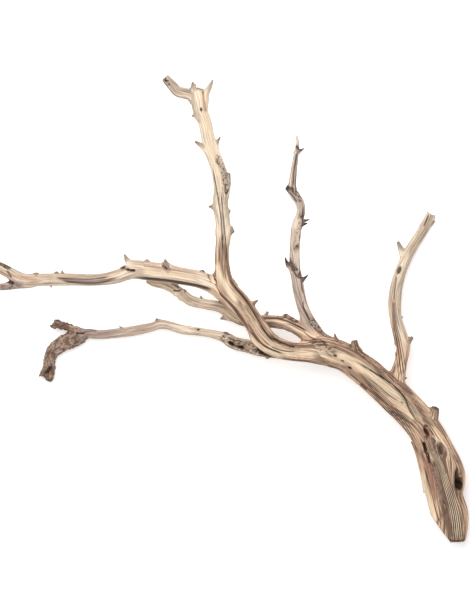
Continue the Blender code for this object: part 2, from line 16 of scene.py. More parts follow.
import bpy
import numpy as np
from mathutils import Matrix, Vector

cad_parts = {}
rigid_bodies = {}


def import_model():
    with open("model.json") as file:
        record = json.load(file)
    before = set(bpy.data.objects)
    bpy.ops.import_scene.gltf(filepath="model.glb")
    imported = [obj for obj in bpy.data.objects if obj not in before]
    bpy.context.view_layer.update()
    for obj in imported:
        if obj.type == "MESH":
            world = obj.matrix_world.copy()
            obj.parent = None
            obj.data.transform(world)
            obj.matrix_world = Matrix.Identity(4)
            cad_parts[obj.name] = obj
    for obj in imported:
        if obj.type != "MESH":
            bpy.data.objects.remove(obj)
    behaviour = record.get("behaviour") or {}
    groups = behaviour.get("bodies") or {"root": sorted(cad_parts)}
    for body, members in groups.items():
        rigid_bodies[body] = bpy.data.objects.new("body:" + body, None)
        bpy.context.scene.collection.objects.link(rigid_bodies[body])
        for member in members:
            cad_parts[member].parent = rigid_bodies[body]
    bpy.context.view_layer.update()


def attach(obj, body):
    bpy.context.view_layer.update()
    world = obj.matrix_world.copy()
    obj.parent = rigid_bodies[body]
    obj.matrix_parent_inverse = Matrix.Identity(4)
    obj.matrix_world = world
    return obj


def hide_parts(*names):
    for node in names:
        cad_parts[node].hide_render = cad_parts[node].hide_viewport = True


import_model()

LOG = logging.getLogger("ghost_wood")
MM = 1000.0                           # millimetres in a metre

# The plan grid: marks are placed by column and row of the picture that the camera takes.
PLAN_PITCH = 0.0016                   # metres between two columns or rows
PLAN_ORIGIN = (229.0, 309.0)          # the column and row over the frame's origin
PICTURE = (470, 596)                  # columns and rows of the whole picture
PICTURE_HEIGHT = 0.05                 # height of the plane on which the plan grid is true

TINY = 1e-12                          # keeps a division from nothing
NOISE_CELLS = 4096                    # random numbers behind one pattern of noise
NOISE_STRIDES = (73856093, 19349663, 83492791)
NOISE_SHIFT = 31.7                    # moves the pith off the corners of the noise's cells
SEEN = (-0.15, 0.3)                   # how far up the skin faces where marks on the upper side begin and are full
SPUR_BEND = 0.14                      # how far a thorn bends at most, over its length
SPUR_SUNK = (0.35, 1.05)              # how far its root reaches into the limb, and how much wider it is there
SPUR_STEPS = ((0.35, 1.0, 0.38), (0.7, 0.6, 0.72))    # shares of its length, bend and taper at its two bends
SPUR_LEAST = 0.5                      # its smallest radius, in millimetres
MARKS = ("hollow", "dark", "pale", "red", "grey", "end", "root", "tone", "bark")

Array = np.ndarray
Socket = bpy.types.NodeSocket
Woods = dict[str, bpy.types.Material]
Point = tuple[float, float, float]
Spot = tuple[float, float]
Station = tuple[float, float, float, float]
SpurSizes = tuple[Point, Point, float, float]
Colour = tuple[int, int, int]


class Stain(Enum):
    """The colour that a furrow, knot or streak leaves on the wood."""

    NONE = "none"
    # DARK also lays painted shade, and PALE a painted highlight.
    DARK = "dark"
    PALE = "pale"
    RED = "red"
    GREY = "grey"


class Tip(Enum):
    """How a limb or twig ends."""

    ROUNDED = "rounded"
    SNAPPED = "snapped"
    HOLLOWED = "hollowed"
    POINTED = "pointed"


NONE, DARK, PALE, RED, GREY = Stain
Stains = tuple[tuple[Stain, Array], ...]


def plan(spot: Spot) -> Spot:
    """Turn a column and row of the plan grid into X and Y in metres."""
    return (spot[0] - PLAN_ORIGIN[0]) * PLAN_PITCH, (PLAN_ORIGIN[1] - spot[1]) * PLAN_PITCH


def ease(low: float, high: float, value: Array) -> Array:
    """Rise smoothly from 0 where a value is low to 1 where it is high; low may be above high."""
    share = np.clip((value - low) / (high - low), 0.0, 1.0)
    return share * share * (3.0 - 2.0 * share)


def faded_ends(passed: Array, taper: float) -> Array:
    """Fade from 1 to 0 over a share of a line's length at each of its ends."""
    return ease(0.0, taper, passed) * ease(1.0, 1.0 - taper, passed)


def unit(ways: Array) -> Array:
    """Scale vectors along the last axis to length one."""
    return ways / np.maximum(np.linalg.norm(ways, axis=-1, keepdims=True), TINY)


def lattice_noise(places: Array, seed: int) -> Array:
    """Smooth noise that is the same at every run.

    Args:
        places: Points whose last axis has three numbers; the noise changes over about one unit.
        seed: Picks one of many patterns.

    Returns:
        A number from -1 to 1 for each point.
    """
    table = np.random.default_rng(seed).uniform(-1.0, 1.0, NOISE_CELLS)
    cell = np.floor(places).astype(np.int64)
    part = ease(0.0, 1.0, places - cell)
    total = np.zeros(places.shape[:-1])
    for corner in itertools.product((0, 1), repeat=3):
        x, y, z = np.moveaxis((cell + corner) * NOISE_STRIDES, -1, 0)
        a, b, c = np.moveaxis(np.where(corner, part, 1.0 - part), -1, 0)
        total += a * b * c * table[(x ^ y ^ z) % NOISE_CELLS]
    return total


def grain_noise(angle: Array, along: Array, around: float, run: float, seed: int) -> Array:
    """Make noise from -1 to 1 with so many changes round a limb, drawn out along it over a run in metres."""
    places = np.stack((np.cos(angle) * around, np.sin(angle) * around, along / run), axis=-1)
    return lattice_noise(places + NOISE_SHIFT, seed)


def lumpy_height(points: Array, size: float, finer: float, seed: int) -> Array:
    """Make lumps of a size in millimetres, with finer ones on them, from -1.5 to 1.5 high."""
    places = points * MM / size
    return lattice_noise(places, seed) + 0.5 * lattice_noise(places / finer, seed + 1)


def smooth_route(spots: Array, pieces: int) -> Array:
    """Draw a smooth line through a few points.

    Args:
        spots: The points, one a row, with any number of columns.
        pieces: Straight pieces between two of the points.

    Returns:
        The points of the line, one a row.
    """
    held = np.vstack((2.0 * spots[0] - spots[1], spots, 2.0 * spots[-1] - spots[-2]))
    share = np.linspace(0.0, 1.0, pieces, endpoint=False)[:, None]
    line = []
    for a, b, c, d in zip(held, held[1:], held[2:], held[3:]):
        bend = (2.0 * a - 5.0 * b + 4.0 * c - d) * share**2 + (3.0 * b - 3.0 * c + d - a) * share**3
        line.append(0.5 * (2.0 * b + (c - a) * share + bend))
    return np.vstack((*line, spots[-1:]))


def capped(grid: Array) -> Array:
    """List the points of a grid, and then the middles of its first and its last row."""
    return np.concatenate((grid.reshape(-1, *grid.shape[2:]), grid[[0, -1]].mean(axis=1)))


class Pith:
    """The smooth line inside a limb, with the limb's radius along it."""

    PIECES = 12                       # straight pieces between two stations
    PITCH = 0.0015                    # metres between two points once they are spaced evenly
    STRIDE = 8                        # points that a quick search steps over
    BATCH = 20000                     # points that are searched for at once

    def __init__(self, stations: tuple[Station, ...]) -> None:
        """Draw the line through a limb's stations.

        Args:
            stations: x, y, z and radius at listed places, from the root outward.
        """
        rough = smooth_route(np.array(stations) / MM, self.PIECES)
        steps = np.linalg.norm(np.diff(rough[:, :3], axis=0), axis=1)
        reached = np.concatenate(((0.0,), np.cumsum(steps)))
        self.length = float(reached[-1])
        self.along = np.linspace(0.0, self.length, max(int(self.length / self.PITCH), self.STRIDE))
        even = np.stack([np.interp(self.along, reached, column) for column in rough.T], axis=1)
        self.line, self.radius = even[:, :3], even[:, 3]
        self.onward = unit(np.gradient(self.line, axis=0))
        self.up = unit(np.array((0.0, 0.0, 1.0)) - self.onward * self.onward[:, 2:])
        self.side = np.cross(self.up, self.onward)

    def look_up(self, values: Array, along: Array) -> Array:
        """Look up rows of values at any length along the line."""
        return np.stack([np.interp(along, self.along, column) for column in values.T], axis=-1)

    def surface(self, angle: Array, along: Array, share: float | Array = 1.0) -> Array:
        """Find points round the line.

        Args:
            angle: Angle from straight up, in radians.
            along: Length along the line, in metres.
            share: Share of the radius at which the points lie.

        Returns:
            The points, with three numbers on the last axis.
        """
        way = self.look_up(self.up, along) * np.cos(angle)[..., None]
        way = unit(way + self.look_up(self.side, along) * np.sin(angle)[..., None])
        reach = np.interp(along, self.along, self.radius) * share
        return self.look_up(self.line, along) + way * reach[..., None]

    def nearby(self, points: Array, margin: float) -> Array:
        """Pick the points that may lie within a margin of the limb's round surface.

        Args:
            points: One point a row.
            margin: The margin in metres.

        Returns:
            True for each point that is picked.
        """
        near = np.zeros(len(points), dtype=bool)
        for place, radius in zip(self.line[::self.STRIDE], self.radius[::self.STRIDE]):
            reach = radius + margin + self.STRIDE * self.PITCH
            near |= np.einsum("ij,ij->i", points - place, points - place) < reach * reach
        return near

    def clearance(self, points: Array) -> tuple[Array, Array]:
        """Measure how far points lie outside the limb.

        Args:
            points: One point a row.

        Returns:
            The distance outside the limb's round surface, below zero inside it, and the way out.
        """
        coarse = np.arange(0, len(self.line), self.STRIDE)
        best = np.empty(len(points), dtype=np.int64)
        for start in range(0, len(points), self.BATCH):
            part = points[start:start + self.BATCH, None, :]
            apart = np.linalg.norm(part - self.line[coarse], axis=2) - self.radius[coarse]
            best[start:start + self.BATCH] = coarse[np.argmin(apart, axis=1)]
        window = np.clip(best[:, None] + np.arange(-self.STRIDE, self.STRIDE + 1), 0, len(self.line) - 1)
        apart = np.linalg.norm(points[:, None, :] - self.line[window], axis=2) - self.radius[window]
        best = np.take_along_axis(window, np.argmin(apart, axis=1)[:, None], axis=1)[:, 0]
        slide = np.einsum("ij,ij->i", points - self.line[best], self.onward[best])
        slide = np.clip(slide, -self.PITCH, self.PITCH)
        away = points - self.line[best] - self.onward[best] * slide[:, None]
        reached = np.interp(self.along[best] + slide, self.along, self.radius)
        return np.linalg.norm(away, axis=1) - reached, unit(away)


@dataclass(frozen=True)
class Strands:
    """Cords of wood side by side round a limb, parted by furrows.

    Attributes:
        count: Cords round the limb.
        height: Height of a cord over its furrow.
        waver: How far the furrows wander, as a share of a cord's width.
        run: Length over which they wander.
        seed: Picks the pattern.
        furrow: Share of a cord's width that its furrow darkens.
        gaps: Share of the limb on which the cords fade out.
        tint: How much the cords differ in colour.
    """

    count: int
    height: float
    waver: float
    run: float
    seed: int
    furrow: float = 0.4
    gaps: float = 0.4
    tint: float = 0.3

    CREST = 0.6                       # below one, a cord is broad on top with steep sides
    LEAST = (0.5, 0.45, -1.0)         # the lowest cord, the faintest furrow and the darkest cord
    WANDER = ((1.3, 1.0, 1.0), (2.9, 0.45, 0.5))      # changes round the limb, share of the run and weight
    FADING = (2.1, 0.8)               # changes round the limb and share of the run of the places where cords fade
    FADED = 0.25                      # share of a cord's height that is left there
    LEVEL = 0.55                      # share of a cord's height that lies within the plain surface
    SINK = 0.4                        # share of a cord's height by which its furrow sinks deeper

    def relief(self, angle: Array, along: Array) -> tuple[Array, Array, Array]:
        """Work out the cords' relief.

        Args:
            angle: Angle round the limb, wound with the grain.
            along: Length along the limb.

        Returns:
            The height over the plain surface in metres, how deep in a furrow each point is, 0 to 1, and
            how much paler than the next cords its own cord is, -1 to 1.
        """
        run = self.run / MM
        wander = sum(
            weight * grain_noise(angle, along, around, run * share, self.seed + index)
            for index, (around, share, weight) in enumerate(self.WANDER)
        )
        turn = self.count * angle / math.tau + self.waver * wander * math.sqrt(self.count)
        tent = 1.0 - np.abs(2.0 * (turn - np.floor(turn)) - 1.0)
        chance = np.random.default_rng(self.seed + 7)
        tall, deep, pale = (chance.uniform(least, 1.0, self.count) for least in self.LEAST)
        cord = np.floor(turn).astype(np.int64) % self.count
        patches = grain_noise(angle, along, self.FADING[0], run * self.FADING[1], self.seed + 2)
        strength = self.FADED + (1.0 - self.FADED) * ease(-1.0 + self.gaps, self.gaps, patches)
        hollow = ease(self.furrow, 0.1 * self.furrow, tent) * strength
        hollow = hollow * deep[np.round(turn).astype(np.int64) % self.count]
        height = self.height / MM * ((tent**self.CREST * tall[cord] - self.LEVEL) * strength - self.SINK * hollow)
        return height, hollow, self.tint * (pale[cord] * ease(0.0, 0.4, tent) + 0.5 * (tent - 0.5))


@dataclass(frozen=True)
class Crust:
    """Rough bark: lumps and pits of one size all over.

    Attributes:
        size: Width of a lump.
        height: Height of a lump.
        seed: Picks the pattern.
    """

    size: float
    height: float
    seed: int

    FINER = 0.47                      # width of the finer lumps over the others'
    PITS = (0.1, -0.8)                # heights of the lumps at which pits begin and are full

    def relief(self, points: Array) -> tuple[Array, Array]:
        """Work out the height in metres at each point, and how deep in a pit it is, 0 to 1."""
        rise = lumpy_height(points, self.size, self.FINER, self.seed)
        return self.height / MM * rise, ease(*self.PITS, rise)


@dataclass(frozen=True)
class Line:
    """Something that follows a line on the upper side.

    Attributes:
        route: The line's points, by column and row of the plan grid.
        strength: How strong its own stain is, 0 to 1.
    """

    route: tuple[Spot, ...]
    strength: float

    ROUTE_PIECES = 5                  # straight pieces between two of the line's points
    MARGIN = 3.0                      # times its width within which points are measured
    FAR = 9.0                         # times its width beyond which all places are alike

    def beside(self, points: Array, width: float) -> tuple[Array, Array]:
        """Measure where points lie beside the line.

        Args:
            points: The points to measure.
            width: Points much farther than this from the line are left out.

        Returns:
            The distance to the left of the line in millimetres, below zero to its right, and the share
            of the line that is passed.
        """
        line = smooth_route(np.array([plan(spot) for spot in self.route]), self.ROUTE_PIECES)
        flat = points[..., :2].reshape(-1, 2)
        margin = self.MARGIN * width / MM
        close = np.all((flat > line.min(axis=0) - margin) & (flat < line.max(axis=0) + margin), axis=1)
        part = flat[close]
        best = np.full(len(part), np.inf)
        side, passed = np.ones(len(part)), np.zeros(len(part))
        for index, (start, end) in enumerate(zip(line[:-1], line[1:])):
            way, off = end - start, part - start
            share = np.clip((off @ way) / max(way @ way, TINY), 0.0, 1.0)
            apart = np.linalg.norm(off - share[:, None] * way, axis=1)
            nearer = apart < best
            best = np.where(nearer, apart, best)
            side = np.where(nearer, np.where(way[0] * off[:, 1] > way[1] * off[:, 0], 1.0, -1.0), side)
            passed = np.where(nearer, (index + share) / (len(line) - 1), passed)
        distance, reached = np.full(len(flat), np.inf), np.zeros(len(flat))
        distance[close], reached[close] = best * side * MM, passed
        return distance.reshape(points.shape[:-1]), reached.reshape(points.shape[:-1])


@dataclass(frozen=True)
class Streak(Line):
    """A furrow, lip or stain; a few streaks are painted shade and one is a painted highlight.

    Attributes:
        width: Half of its width.
        depth: Its depth, below zero for a lip that stands up.
        stain: The colour that it leaves.
        sharp: Above two it is flat across with steep sides.
        taper: Share of its length over which each end fades out.
    """

    width: float
    depth: float = 0.0
    stain: Stain = DARK
    sharp: float = 2.0
    taper: float = 0.15

    def shape(self, points: Array) -> tuple[Array, Stains]:
        """Work out the streak's shape.

        Args:
            points: The points to look up, seen from above.

        Returns:
            The height in metres and the stains.
        """
        side, passed = self.beside(points, self.width)
        cover = np.exp(-(np.minimum(np.abs(side) / self.width, self.FAR) ** self.sharp))
        if self.taper:
            cover = cover * faded_ends(passed, self.taper)
        return -self.depth / MM * cover, ((self.stain, cover * self.strength),)


@dataclass(frozen=True)
class Ribs(Line):
    """Fine ridges side by side.

    Attributes:
        groove: How dark the grooves are, 0 to 1.
        start: Half of the band's width at the start of the line.
        end: The same at its end.
        count: Ridges across the band.
        height: Height of a ridge over its groove.
        stain: The colour of the ridges.
    """

    groove: float
    start: float
    end: float
    count: int
    height: float = 1.0
    stain: Stain = NONE

    EDGE = (1.12, 0.95)               # distances over its width at which the band begins and is full
    ENDS = 0.06                       # share of its length over which each end fades out
    LEVEL = 0.4                       # share of a ridge's height that stands over the plain surface

    def band(self, points: Array) -> tuple[Array, Array]:
        """Work out where points lie in the band.

        Args:
            points: The points to look up, seen from above.

        Returns:
            How far across it they are, -1 to 1 inside it, and how far inside, 0 to 1.
        """
        side, passed = self.beside(points, max(self.start, self.end))
        across = np.clip(side / (self.start + (self.end - self.start) * passed), -2.0, 2.0)
        return across, ease(*self.EDGE, np.abs(across)) * faded_ends(passed, self.ENDS)

    def shape(self, points: Array) -> tuple[Array, Stains]:
        """Work out the ridges' shape.

        Args:
            points: The points to look up, seen from above.

        Returns:
            The height in metres and the stains.
        """
        across, inside = self.band(points)
        dip = 0.5 + 0.5 * np.cos(math.pi * self.count * (across + 1.0))
        stains = ((DARK, inside * dip**2 * self.groove), (self.stain, inside * (1.0 - dip) * self.strength))
        return self.height / MM * (self.LEVEL - dip) * inside, stains


@dataclass(frozen=True)
class Mottle(Line):
    """A rough patch of small lumps and dark pits.

    Attributes:
        pits: How dark the pits are, 0 to 1.
        width: Half of the patch's width.
        size: Width of a lump.
        height: Height of a lump.
        stain: The colour of the patch.
    """

    pits: float
    width: float
    size: float = 2.6
    height: float = 0.6
    stain: Stain = GREY

    FINER = 0.5                       # width of the finer lumps over the others'
    SEED = 5
    EDGE = (1.3, 0.7)                 # distances over its width at which the patch begins and is full
    RAGGED = 0.25                     # how far the lumps move that edge
    PITS = (-0.05, -0.5)              # heights of the lumps at which pits begin and are full

    def shape(self, points: Array) -> tuple[Array, Stains]:
        """Work out the patch's shape.

        Args:
            points: The points to look up, seen from above.

        Returns:
            The height in metres and the stains.
        """
        side, _ = self.beside(points, self.width)
        rise = lumpy_height(points, self.size, self.FINER, self.SEED)
        cover = ease(*self.EDGE, np.minimum(np.abs(side) / self.width, self.FAR) + self.RAGGED * rise)
        pits = cover * ease(*self.PITS, rise) * self.pits
        return self.height / MM * rise * cover, ((self.stain, cover * self.strength), (DARK, pits))


@dataclass(frozen=True)
class Knot:
    """A knot, hole or lump on the upper side that the grain flows round.

    Attributes:
        at: Its middle, by column and row of the plan grid.
        strength: How strong its stain is, 0 to 1.
        radius: Half of its width across the grain.
        stretch: Its length along the grain over its width.
        depth: Depth of its hollow, below zero for a lump.
        rim: Height of the rim round it.
        stain: The colour that it leaves.
        swirl: How far the grain bends round it, 0 to 1.
    """

    at: Spot
    strength: float
    radius: float
    stretch: float
    depth: float
    rim: float = 0.5
    stain: Stain = DARK
    swirl: float = 1.0

    HIDDEN = 0.05                     # how far up the skin has to face where a knot may be
    SHALLOW, DEEP = 1.0, 4.0          # depths at which the painted shade at the bottom begins and is full
    # Distances from its middle, over its own size:
    BEND = (4.5, 1.6)                 # where the grain starts to bend and bends fully
    HOLLOW = (1.0, 0.35)              # where the hollow begins and is deepest
    STAINED = (1.25, 0.55)            # where the stain begins and is full
    SHADED = (0.9, 0.3)               # where the painted shade of a deep hollow begins and is full
    RIM = (1.25, 0.4)                 # where the rim's crest is, and the rim's width

    def painted_hollow_shade(self) -> float:
        """Say how dark the painted shade at the bottom of its hollow is, 0 to 1."""
        return min(max((self.depth - self.SHALLOW) / (self.DEEP - self.SHALLOW), 0.0), 1.0)


@dataclass
class Shell:
    """One closed skin, ready for a mesh.

    Attributes:
        points: The points, one a row.
        quads: The faces with four corners.
        tris: The faces with three corners.
        grain: The grain's coordinates of each point.
        facing: The way out of the surface at each point.
        marks: What the shaping leaves on each point, by name.
    """

    points: Array
    quads: Array
    tris: Array
    grain: Array
    facing: Array
    marks: dict[str, Array]


@dataclass
class Skin:
    """One tube's surface as a grid of points, row by row along it and column by column round it.

    Attributes:
        points: The points.
        angle: Angle round the pith of each point.
        along: Length along the pith of each point.
        body: 1 on the side and 0 on the closed ends.
        radius: Radius of the tube at each point.
        marks: What the shaping leaves on each point, by name.
        calm: Share of the cords' height that is left at each point.
        wound: The angle, wound with the grain.
        facing: The way out of the finished surface.
    """

    points: Array
    angle: Array
    along: Array
    body: Array
    radius: Array
    marks: dict[str, Array] = field(init=False)
    calm: Array = field(init=False)
    wound: Array = field(init=False)
    facing: Array = field(init=False)

    BLEACHED = 0.6                    # share of the furrows' dark that a pale stain takes away

    def __post_init__(self) -> None:
        """Start every mark at nothing, and the grain unwound."""
        self.marks = {name: np.full(self.angle.shape, 0.5 if name == "tone" else 0.0) for name in MARKS}
        self.calm = np.ones(self.angle.shape)
        self.wound = self.angle.copy()
        self.facing = np.zeros(self.points.shape)

    def outward(self) -> Array:
        """Find the way out of the wood at each point, from the points round it."""
        crosswise = np.roll(self.points, -1, axis=1) - np.roll(self.points, 1, axis=1)
        return unit(np.cross(np.gradient(self.points, axis=0), crosswise))

    def seen(self) -> Array:
        """Work out how much of the marks on the upper side each point takes, 0 to 1."""
        return ease(*SEEN, self.outward()[..., 2])

    def stain(self, stain: Stain, cover: Array) -> None:
        """Lay a stain on the points; where it is pale, it hides most of the furrows.

        Args:
            stain: Its colour.
            cover: How strong it is at each point, 0 to 1.
        """
        if stain is PALE:
            self.marks["hollow"] = self.marks["hollow"] * (1.0 - self.BLEACHED * cover)
        if stain is not NONE:
            self.marks[stain.value] = np.maximum(self.marks[stain.value], cover)

    def knot_distance(self, knot: Knot) -> tuple[Array, Array, tuple[int, int]]:
        """Measure how far each point is from a knot's middle.

        Args:
            knot: The knot.

        Returns:
            The distance over the knot's own half length and width, the angle from its middle, and
            the row and column of the point at its middle.
        """
        x, y = plan(knot.at)
        apart = np.hypot(self.points[..., 0] - x, self.points[..., 1] - y)
        apart = np.where((self.outward()[..., 2] < knot.HIDDEN) | (self.body < 0.5), np.inf, apart)
        middle = np.unravel_index(int(np.argmin(apart)), apart.shape)
        turn = (self.angle - self.angle[middle] + math.pi) % math.tau - math.pi
        across = turn * self.radius[middle] * MM / knot.radius
        lengthwise = (self.along - self.along[middle]) * MM / (knot.radius * knot.stretch)
        return np.hypot(across, lengthwise), turn, middle

    def bend_grain(self, knots: tuple[Knot, ...]) -> None:
        """Lead the grain round every knot, as water flows round a stone.

        Args:
            knots: The knots.
        """
        for knot in knots:
            distance, turn, _ = self.knot_distance(knot)
            near = ease(*knot.BEND, distance) / np.maximum(distance, 1.0) ** 2
            self.wound = self.wound - turn * near * knot.swirl

    def press(self, height: Array) -> None:
        """Move every point out of the wood by a height in metres."""
        self.points = self.points + self.outward() * height[..., None]

    def carve_knots(self, knots: tuple[Knot, ...]) -> None:
        """Sink every knot's hollow, raise its rim and stain it.

        Args:
            knots: The knots.
        """
        for knot in knots:
            distance, _, middle = self.knot_distance(knot)
            crest, spread = knot.RIM
            inward = -self.outward()[middle]
            self.points = self.points + inward * (ease(*knot.HOLLOW, distance) * knot.depth / MM)[..., None]
            self.press(np.exp(-(((distance - crest) / spread) ** 2)) * knot.rim / MM)
            self.stain(knot.stain, ease(*knot.STAINED, distance) * knot.strength)
            # Painted shade at the bottom of a deep hollow, darker the deeper it is.
            self.stain(DARK, ease(*knot.SHADED, distance) * knot.painted_hollow_shade())

    def draw_lines(self, lines: tuple[Line, ...]) -> None:
        """Press every streak, band of ribs and rough patch into the upper side and stain it.

        Args:
            lines: The marks, in the order in which they are drawn.
        """
        for line in lines:
            seen = self.seen()
            height, stains = line.shape(self.points)
            self.press(height * seen)
            for stain, cover in stains:
                self.stain(stain, cover * seen)

    def stretch(self, start: float, end: float) -> "Skin":
        """Take the rows of the skin from one length along the pith to another.

        Args:
            start: The first length in metres.
            end: The last length in metres.

        Returns:
            A skin of those rows.
        """
        first, last = np.searchsorted(self.along.mean(axis=1), (start, end))
        rows = slice(first, last + 1)
        taken = Skin(self.points[rows], self.angle[rows], self.along[rows], self.body[rows], self.radius[rows])
        taken.wound, taken.facing = self.wound[rows], self.facing[rows]
        taken.marks = {name: mark[rows] for name, mark in self.marks.items()}
        return taken

    def shell(self, grain_radius: float) -> Shell:
        """Close the skin at both ends.

        Args:
            grain_radius: Radius at which one radian of angle is laid out in the grain's coordinates.

        Returns:
            The closed shell.
        """
        rows, columns = self.angle.shape
        index = np.arange(rows * columns).reshape(rows, columns)
        after = np.roll(index, -1, axis=1)
        first, last = (np.full(columns, index.size + extra) for extra in (0, 1))
        quads = np.stack((index[:-1], index[1:], after[1:], after[:-1]), axis=-1).reshape(-1, 4)
        tris = np.hstack(((first, index[0], after[0]), (last, after[-1], index[-1]))).T
        laid = np.stack((np.cos(self.wound) * grain_radius, np.sin(self.wound) * grain_radius, self.along), axis=-1)
        marks = {name: capped(mark) for name, mark in self.marks.items()}
        return Shell(capped(self.points), quads, tris, capped(laid), unit(capped(self.facing)), marks)


@dataclass(frozen=True)
class Cut:
    """A flat cut.

    Attributes:
        at: A point on it.
        outward: The way that leads out of the wood.
    """

    at: Point
    outward: Point

    @cached_property
    def normal(self) -> Array:
        """Give the way out as a vector of length one."""
        return unit(np.array(self.outward))

    def outside(self, points: Array) -> Array:
        """Measure how far points lie outside the cut, in metres."""
        return (points - np.array(self.at) / MM) @ self.normal

    def shave(self, points: Array, round_off: float) -> Array:
        """Bring points outside the cut back to it.

        Args:
            points: The points.
            round_off: Distance over which the cut's edge is rounded, in metres.

        Returns:
            The points that the cut leaves.
        """
        outside = self.outside(points)
        over = np.where(outside > round_off, outside, np.maximum(outside + round_off, 0.0) ** 2 / (4 * round_off))
        return points - self.normal * np.where(outside < -round_off, 0.0, over)[..., None]


@dataclass(frozen=True)
class Tube:
    """A limb, twig or spur before it is carved.

    Attributes:
        stations: x, y, z and radius from its root outward.
        columns: Points round it.
        pitch: Length between two rows.
        tip: How it ends.
        reach: How widely it flows into its neighbours.
        strands: Its cords.
        crusts: Its bark.
        lumps: Share of its radius by which it swells and shrinks at random.
        wind: How far the grain winds round it, in radians for each metre.
        seed: Picks its lumps.
        cuts: Flat cuts that end it at its root.
        weathered: Strength of the grey at its tip.
        dirty: Strength of the dark at its tip.
        bark_from: Length at which its bark begins, where it has any.
        root: Lengths between which the colour of the limb that it grows from fades out.
        facets: Flat faces on its side near its root.
    """

    stations: tuple[Station, ...]
    columns: int
    pitch: float
    tip: Tip = Tip.ROUNDED
    reach: float = 8
    strands: tuple[Strands, ...] = ()
    crusts: tuple[Crust, ...] = ()
    lumps: float = 0.05
    wind: float = 3.0
    seed: int = 1
    cuts: tuple[Cut, ...] = ()
    weathered: float = 0.0
    dirty: float = 0.0
    bark_from: float = -30
    root: tuple[float, float] | None = None
    facets: tuple[Cut, ...] = ()

    LEAST_ROWS = 6                    # rows of the shortest tube
    TIP_ROWS = 7                      # rows that close the far end
    CUT_ROWS = 22                     # rows across a sawn face
    CUT_STEPS = (0.0, 0.14, 281)      # lengths at which the way out of the cuts is looked for, in metres
    FACET_END = (0.115, 0.092)        # lengths at which the flat faces have faded out and start to, in metres
    FACET_EDGE = 0.0016               # how widely their edges are rounded, in metres
    SEAM = 0.0024                     # how deep the valley between two limbs is, in metres
    STEPS = 4                         # steps in which the skin settles between its neighbours
    SWELL = (1.1, 0.03)               # changes round the tube and length, in metres, of its swelling
    BEND = (0.35, 0.8, 0.09)          # radians, changes round the tube and length of the grain's own bends
    TORN = (0.008, 2.2, 0.006)        # metres, changes round the tube and length of the bark's torn edge
    BARK_EDGE = 0.012                 # metres over which bark takes over from wood
    SWELL_SEED, BEND_SEED, TORN_SEED = 50, 70, 90
    ROUND_TIP = 0.9                   # how far a rounded end stands out, over its radius
    SPLINTERS = (2.6, 9.3, 0.35)      # pitch, shift and height of the splinters, over the radius
    SUNK_TIP = {Tip.HOLLOWED: 1.3, Tip.SNAPPED: 0.15}     # how deep a tip's middle lies, over its radius
    SUNK_FROM, SPLINTERED_FROM = 0.7, 0.25            # shares of the way to its middle at which each is full
    GREYING, DARKENING = (0.35, 1.0), (0.25, 0.9)     # shares of its length at which its tip begins and is full
    FACE_ROWS = (0.04, 0.98)          # shares of a sawn face's radius that its first and last row have
    RIBBED = 0.9                      # share of the cords' height that a band of ribs takes away
    SMOOTHED = 0.85                   # share of the cords' height that a flat face takes away
    FLATTENED = 0.0012                # metres that the face has to take off for that
    UNDER = 0.004                     # metres inside a neighbour at which the valley is deepest and no cord is left
    CLEAR = 0.007                     # metres outside a neighbour at which the cords are whole
    VALLEY = 0.35                     # share of the cords' height that is left at the neighbour's surface
    KEPT = (-0.003, -0.0008)          # metres outside a neighbour at which the skin stays and moves

    @cached_property
    def pith(self) -> Pith:
        """Draw the tube's pith line."""
        return Pith(self.stations)

    def cut_start(self, angle: Array) -> Array:
        """Find where each column of points comes out of the cuts.

        Args:
            angle: Angle of each column.

        Returns:
            The length along the pith for each column, in metres.
        """
        if not self.cuts:
            return np.zeros(len(angle))
        along = np.linspace(*self.CUT_STEPS)
        points = self.pith.surface(*np.meshgrid(angle, along))
        outside = np.max([cut.outside(points) for cut in self.cuts], axis=0)
        return along[len(along) - 1 - np.argmax(outside[::-1] > 0.0, axis=0)]

    def cut_face(self, edge: Array) -> Array:
        """Fill the sawn face inside its edge.

        Args:
            edge: The points of the edge.

        Returns:
            The rows of the face, from its middle outward.
        """
        onward = self.pith.onward[4]
        middle = edge.mean(axis=0)
        rings = np.linspace(*self.FACE_ROWS, self.CUT_ROWS)[:, None, None]
        face = middle + (edge - middle) * rings
        depths = [-cut.outside(face) / float(cut.normal @ onward) for cut in self.cuts]
        return face + onward * np.max(depths, axis=0)[..., None]

    def tip_rows(self, edge: Array, angle: Array) -> tuple[Array, Array]:
        """Close the far end.

        Args:
            edge: The last row of points on the side.
            angle: Angle of each column.

        Returns:
            The rows of the end from its edge inward, and each row's share of the radius.
        """
        middle = edge.mean(axis=0)
        radius = float(np.linalg.norm(edge - middle, axis=1).mean())
        step = np.arange(1, self.TIP_ROWS + 1)[:, None] / (self.TIP_ROWS + 1)
        if self.tip in (Tip.ROUNDED, Tip.POINTED):
            share = np.cos(step * math.pi / 2.0)
            push = np.sin(step * math.pi / 2.0) * np.full(len(angle), radius * self.ROUND_TIP)
        else:
            share = 1.0 - step
            x, y = share * np.cos(angle), share * np.sin(angle)
            places = np.stack((x, y, np.full(x.shape, float(self.seed))), axis=-1)
            pitch, shift, height = self.SPLINTERS
            splinters = lattice_noise(places * pitch + shift, self.seed) * height
            hollow = ease(0.0, self.SUNK_FROM, step) * self.SUNK_TIP[self.tip]
            push = (splinters * ease(0.0, self.SPLINTERED_FROM, step) - hollow) * radius
        return middle + (edge - middle) * share[..., None] + self.pith.onward[-1] * push[..., None], share

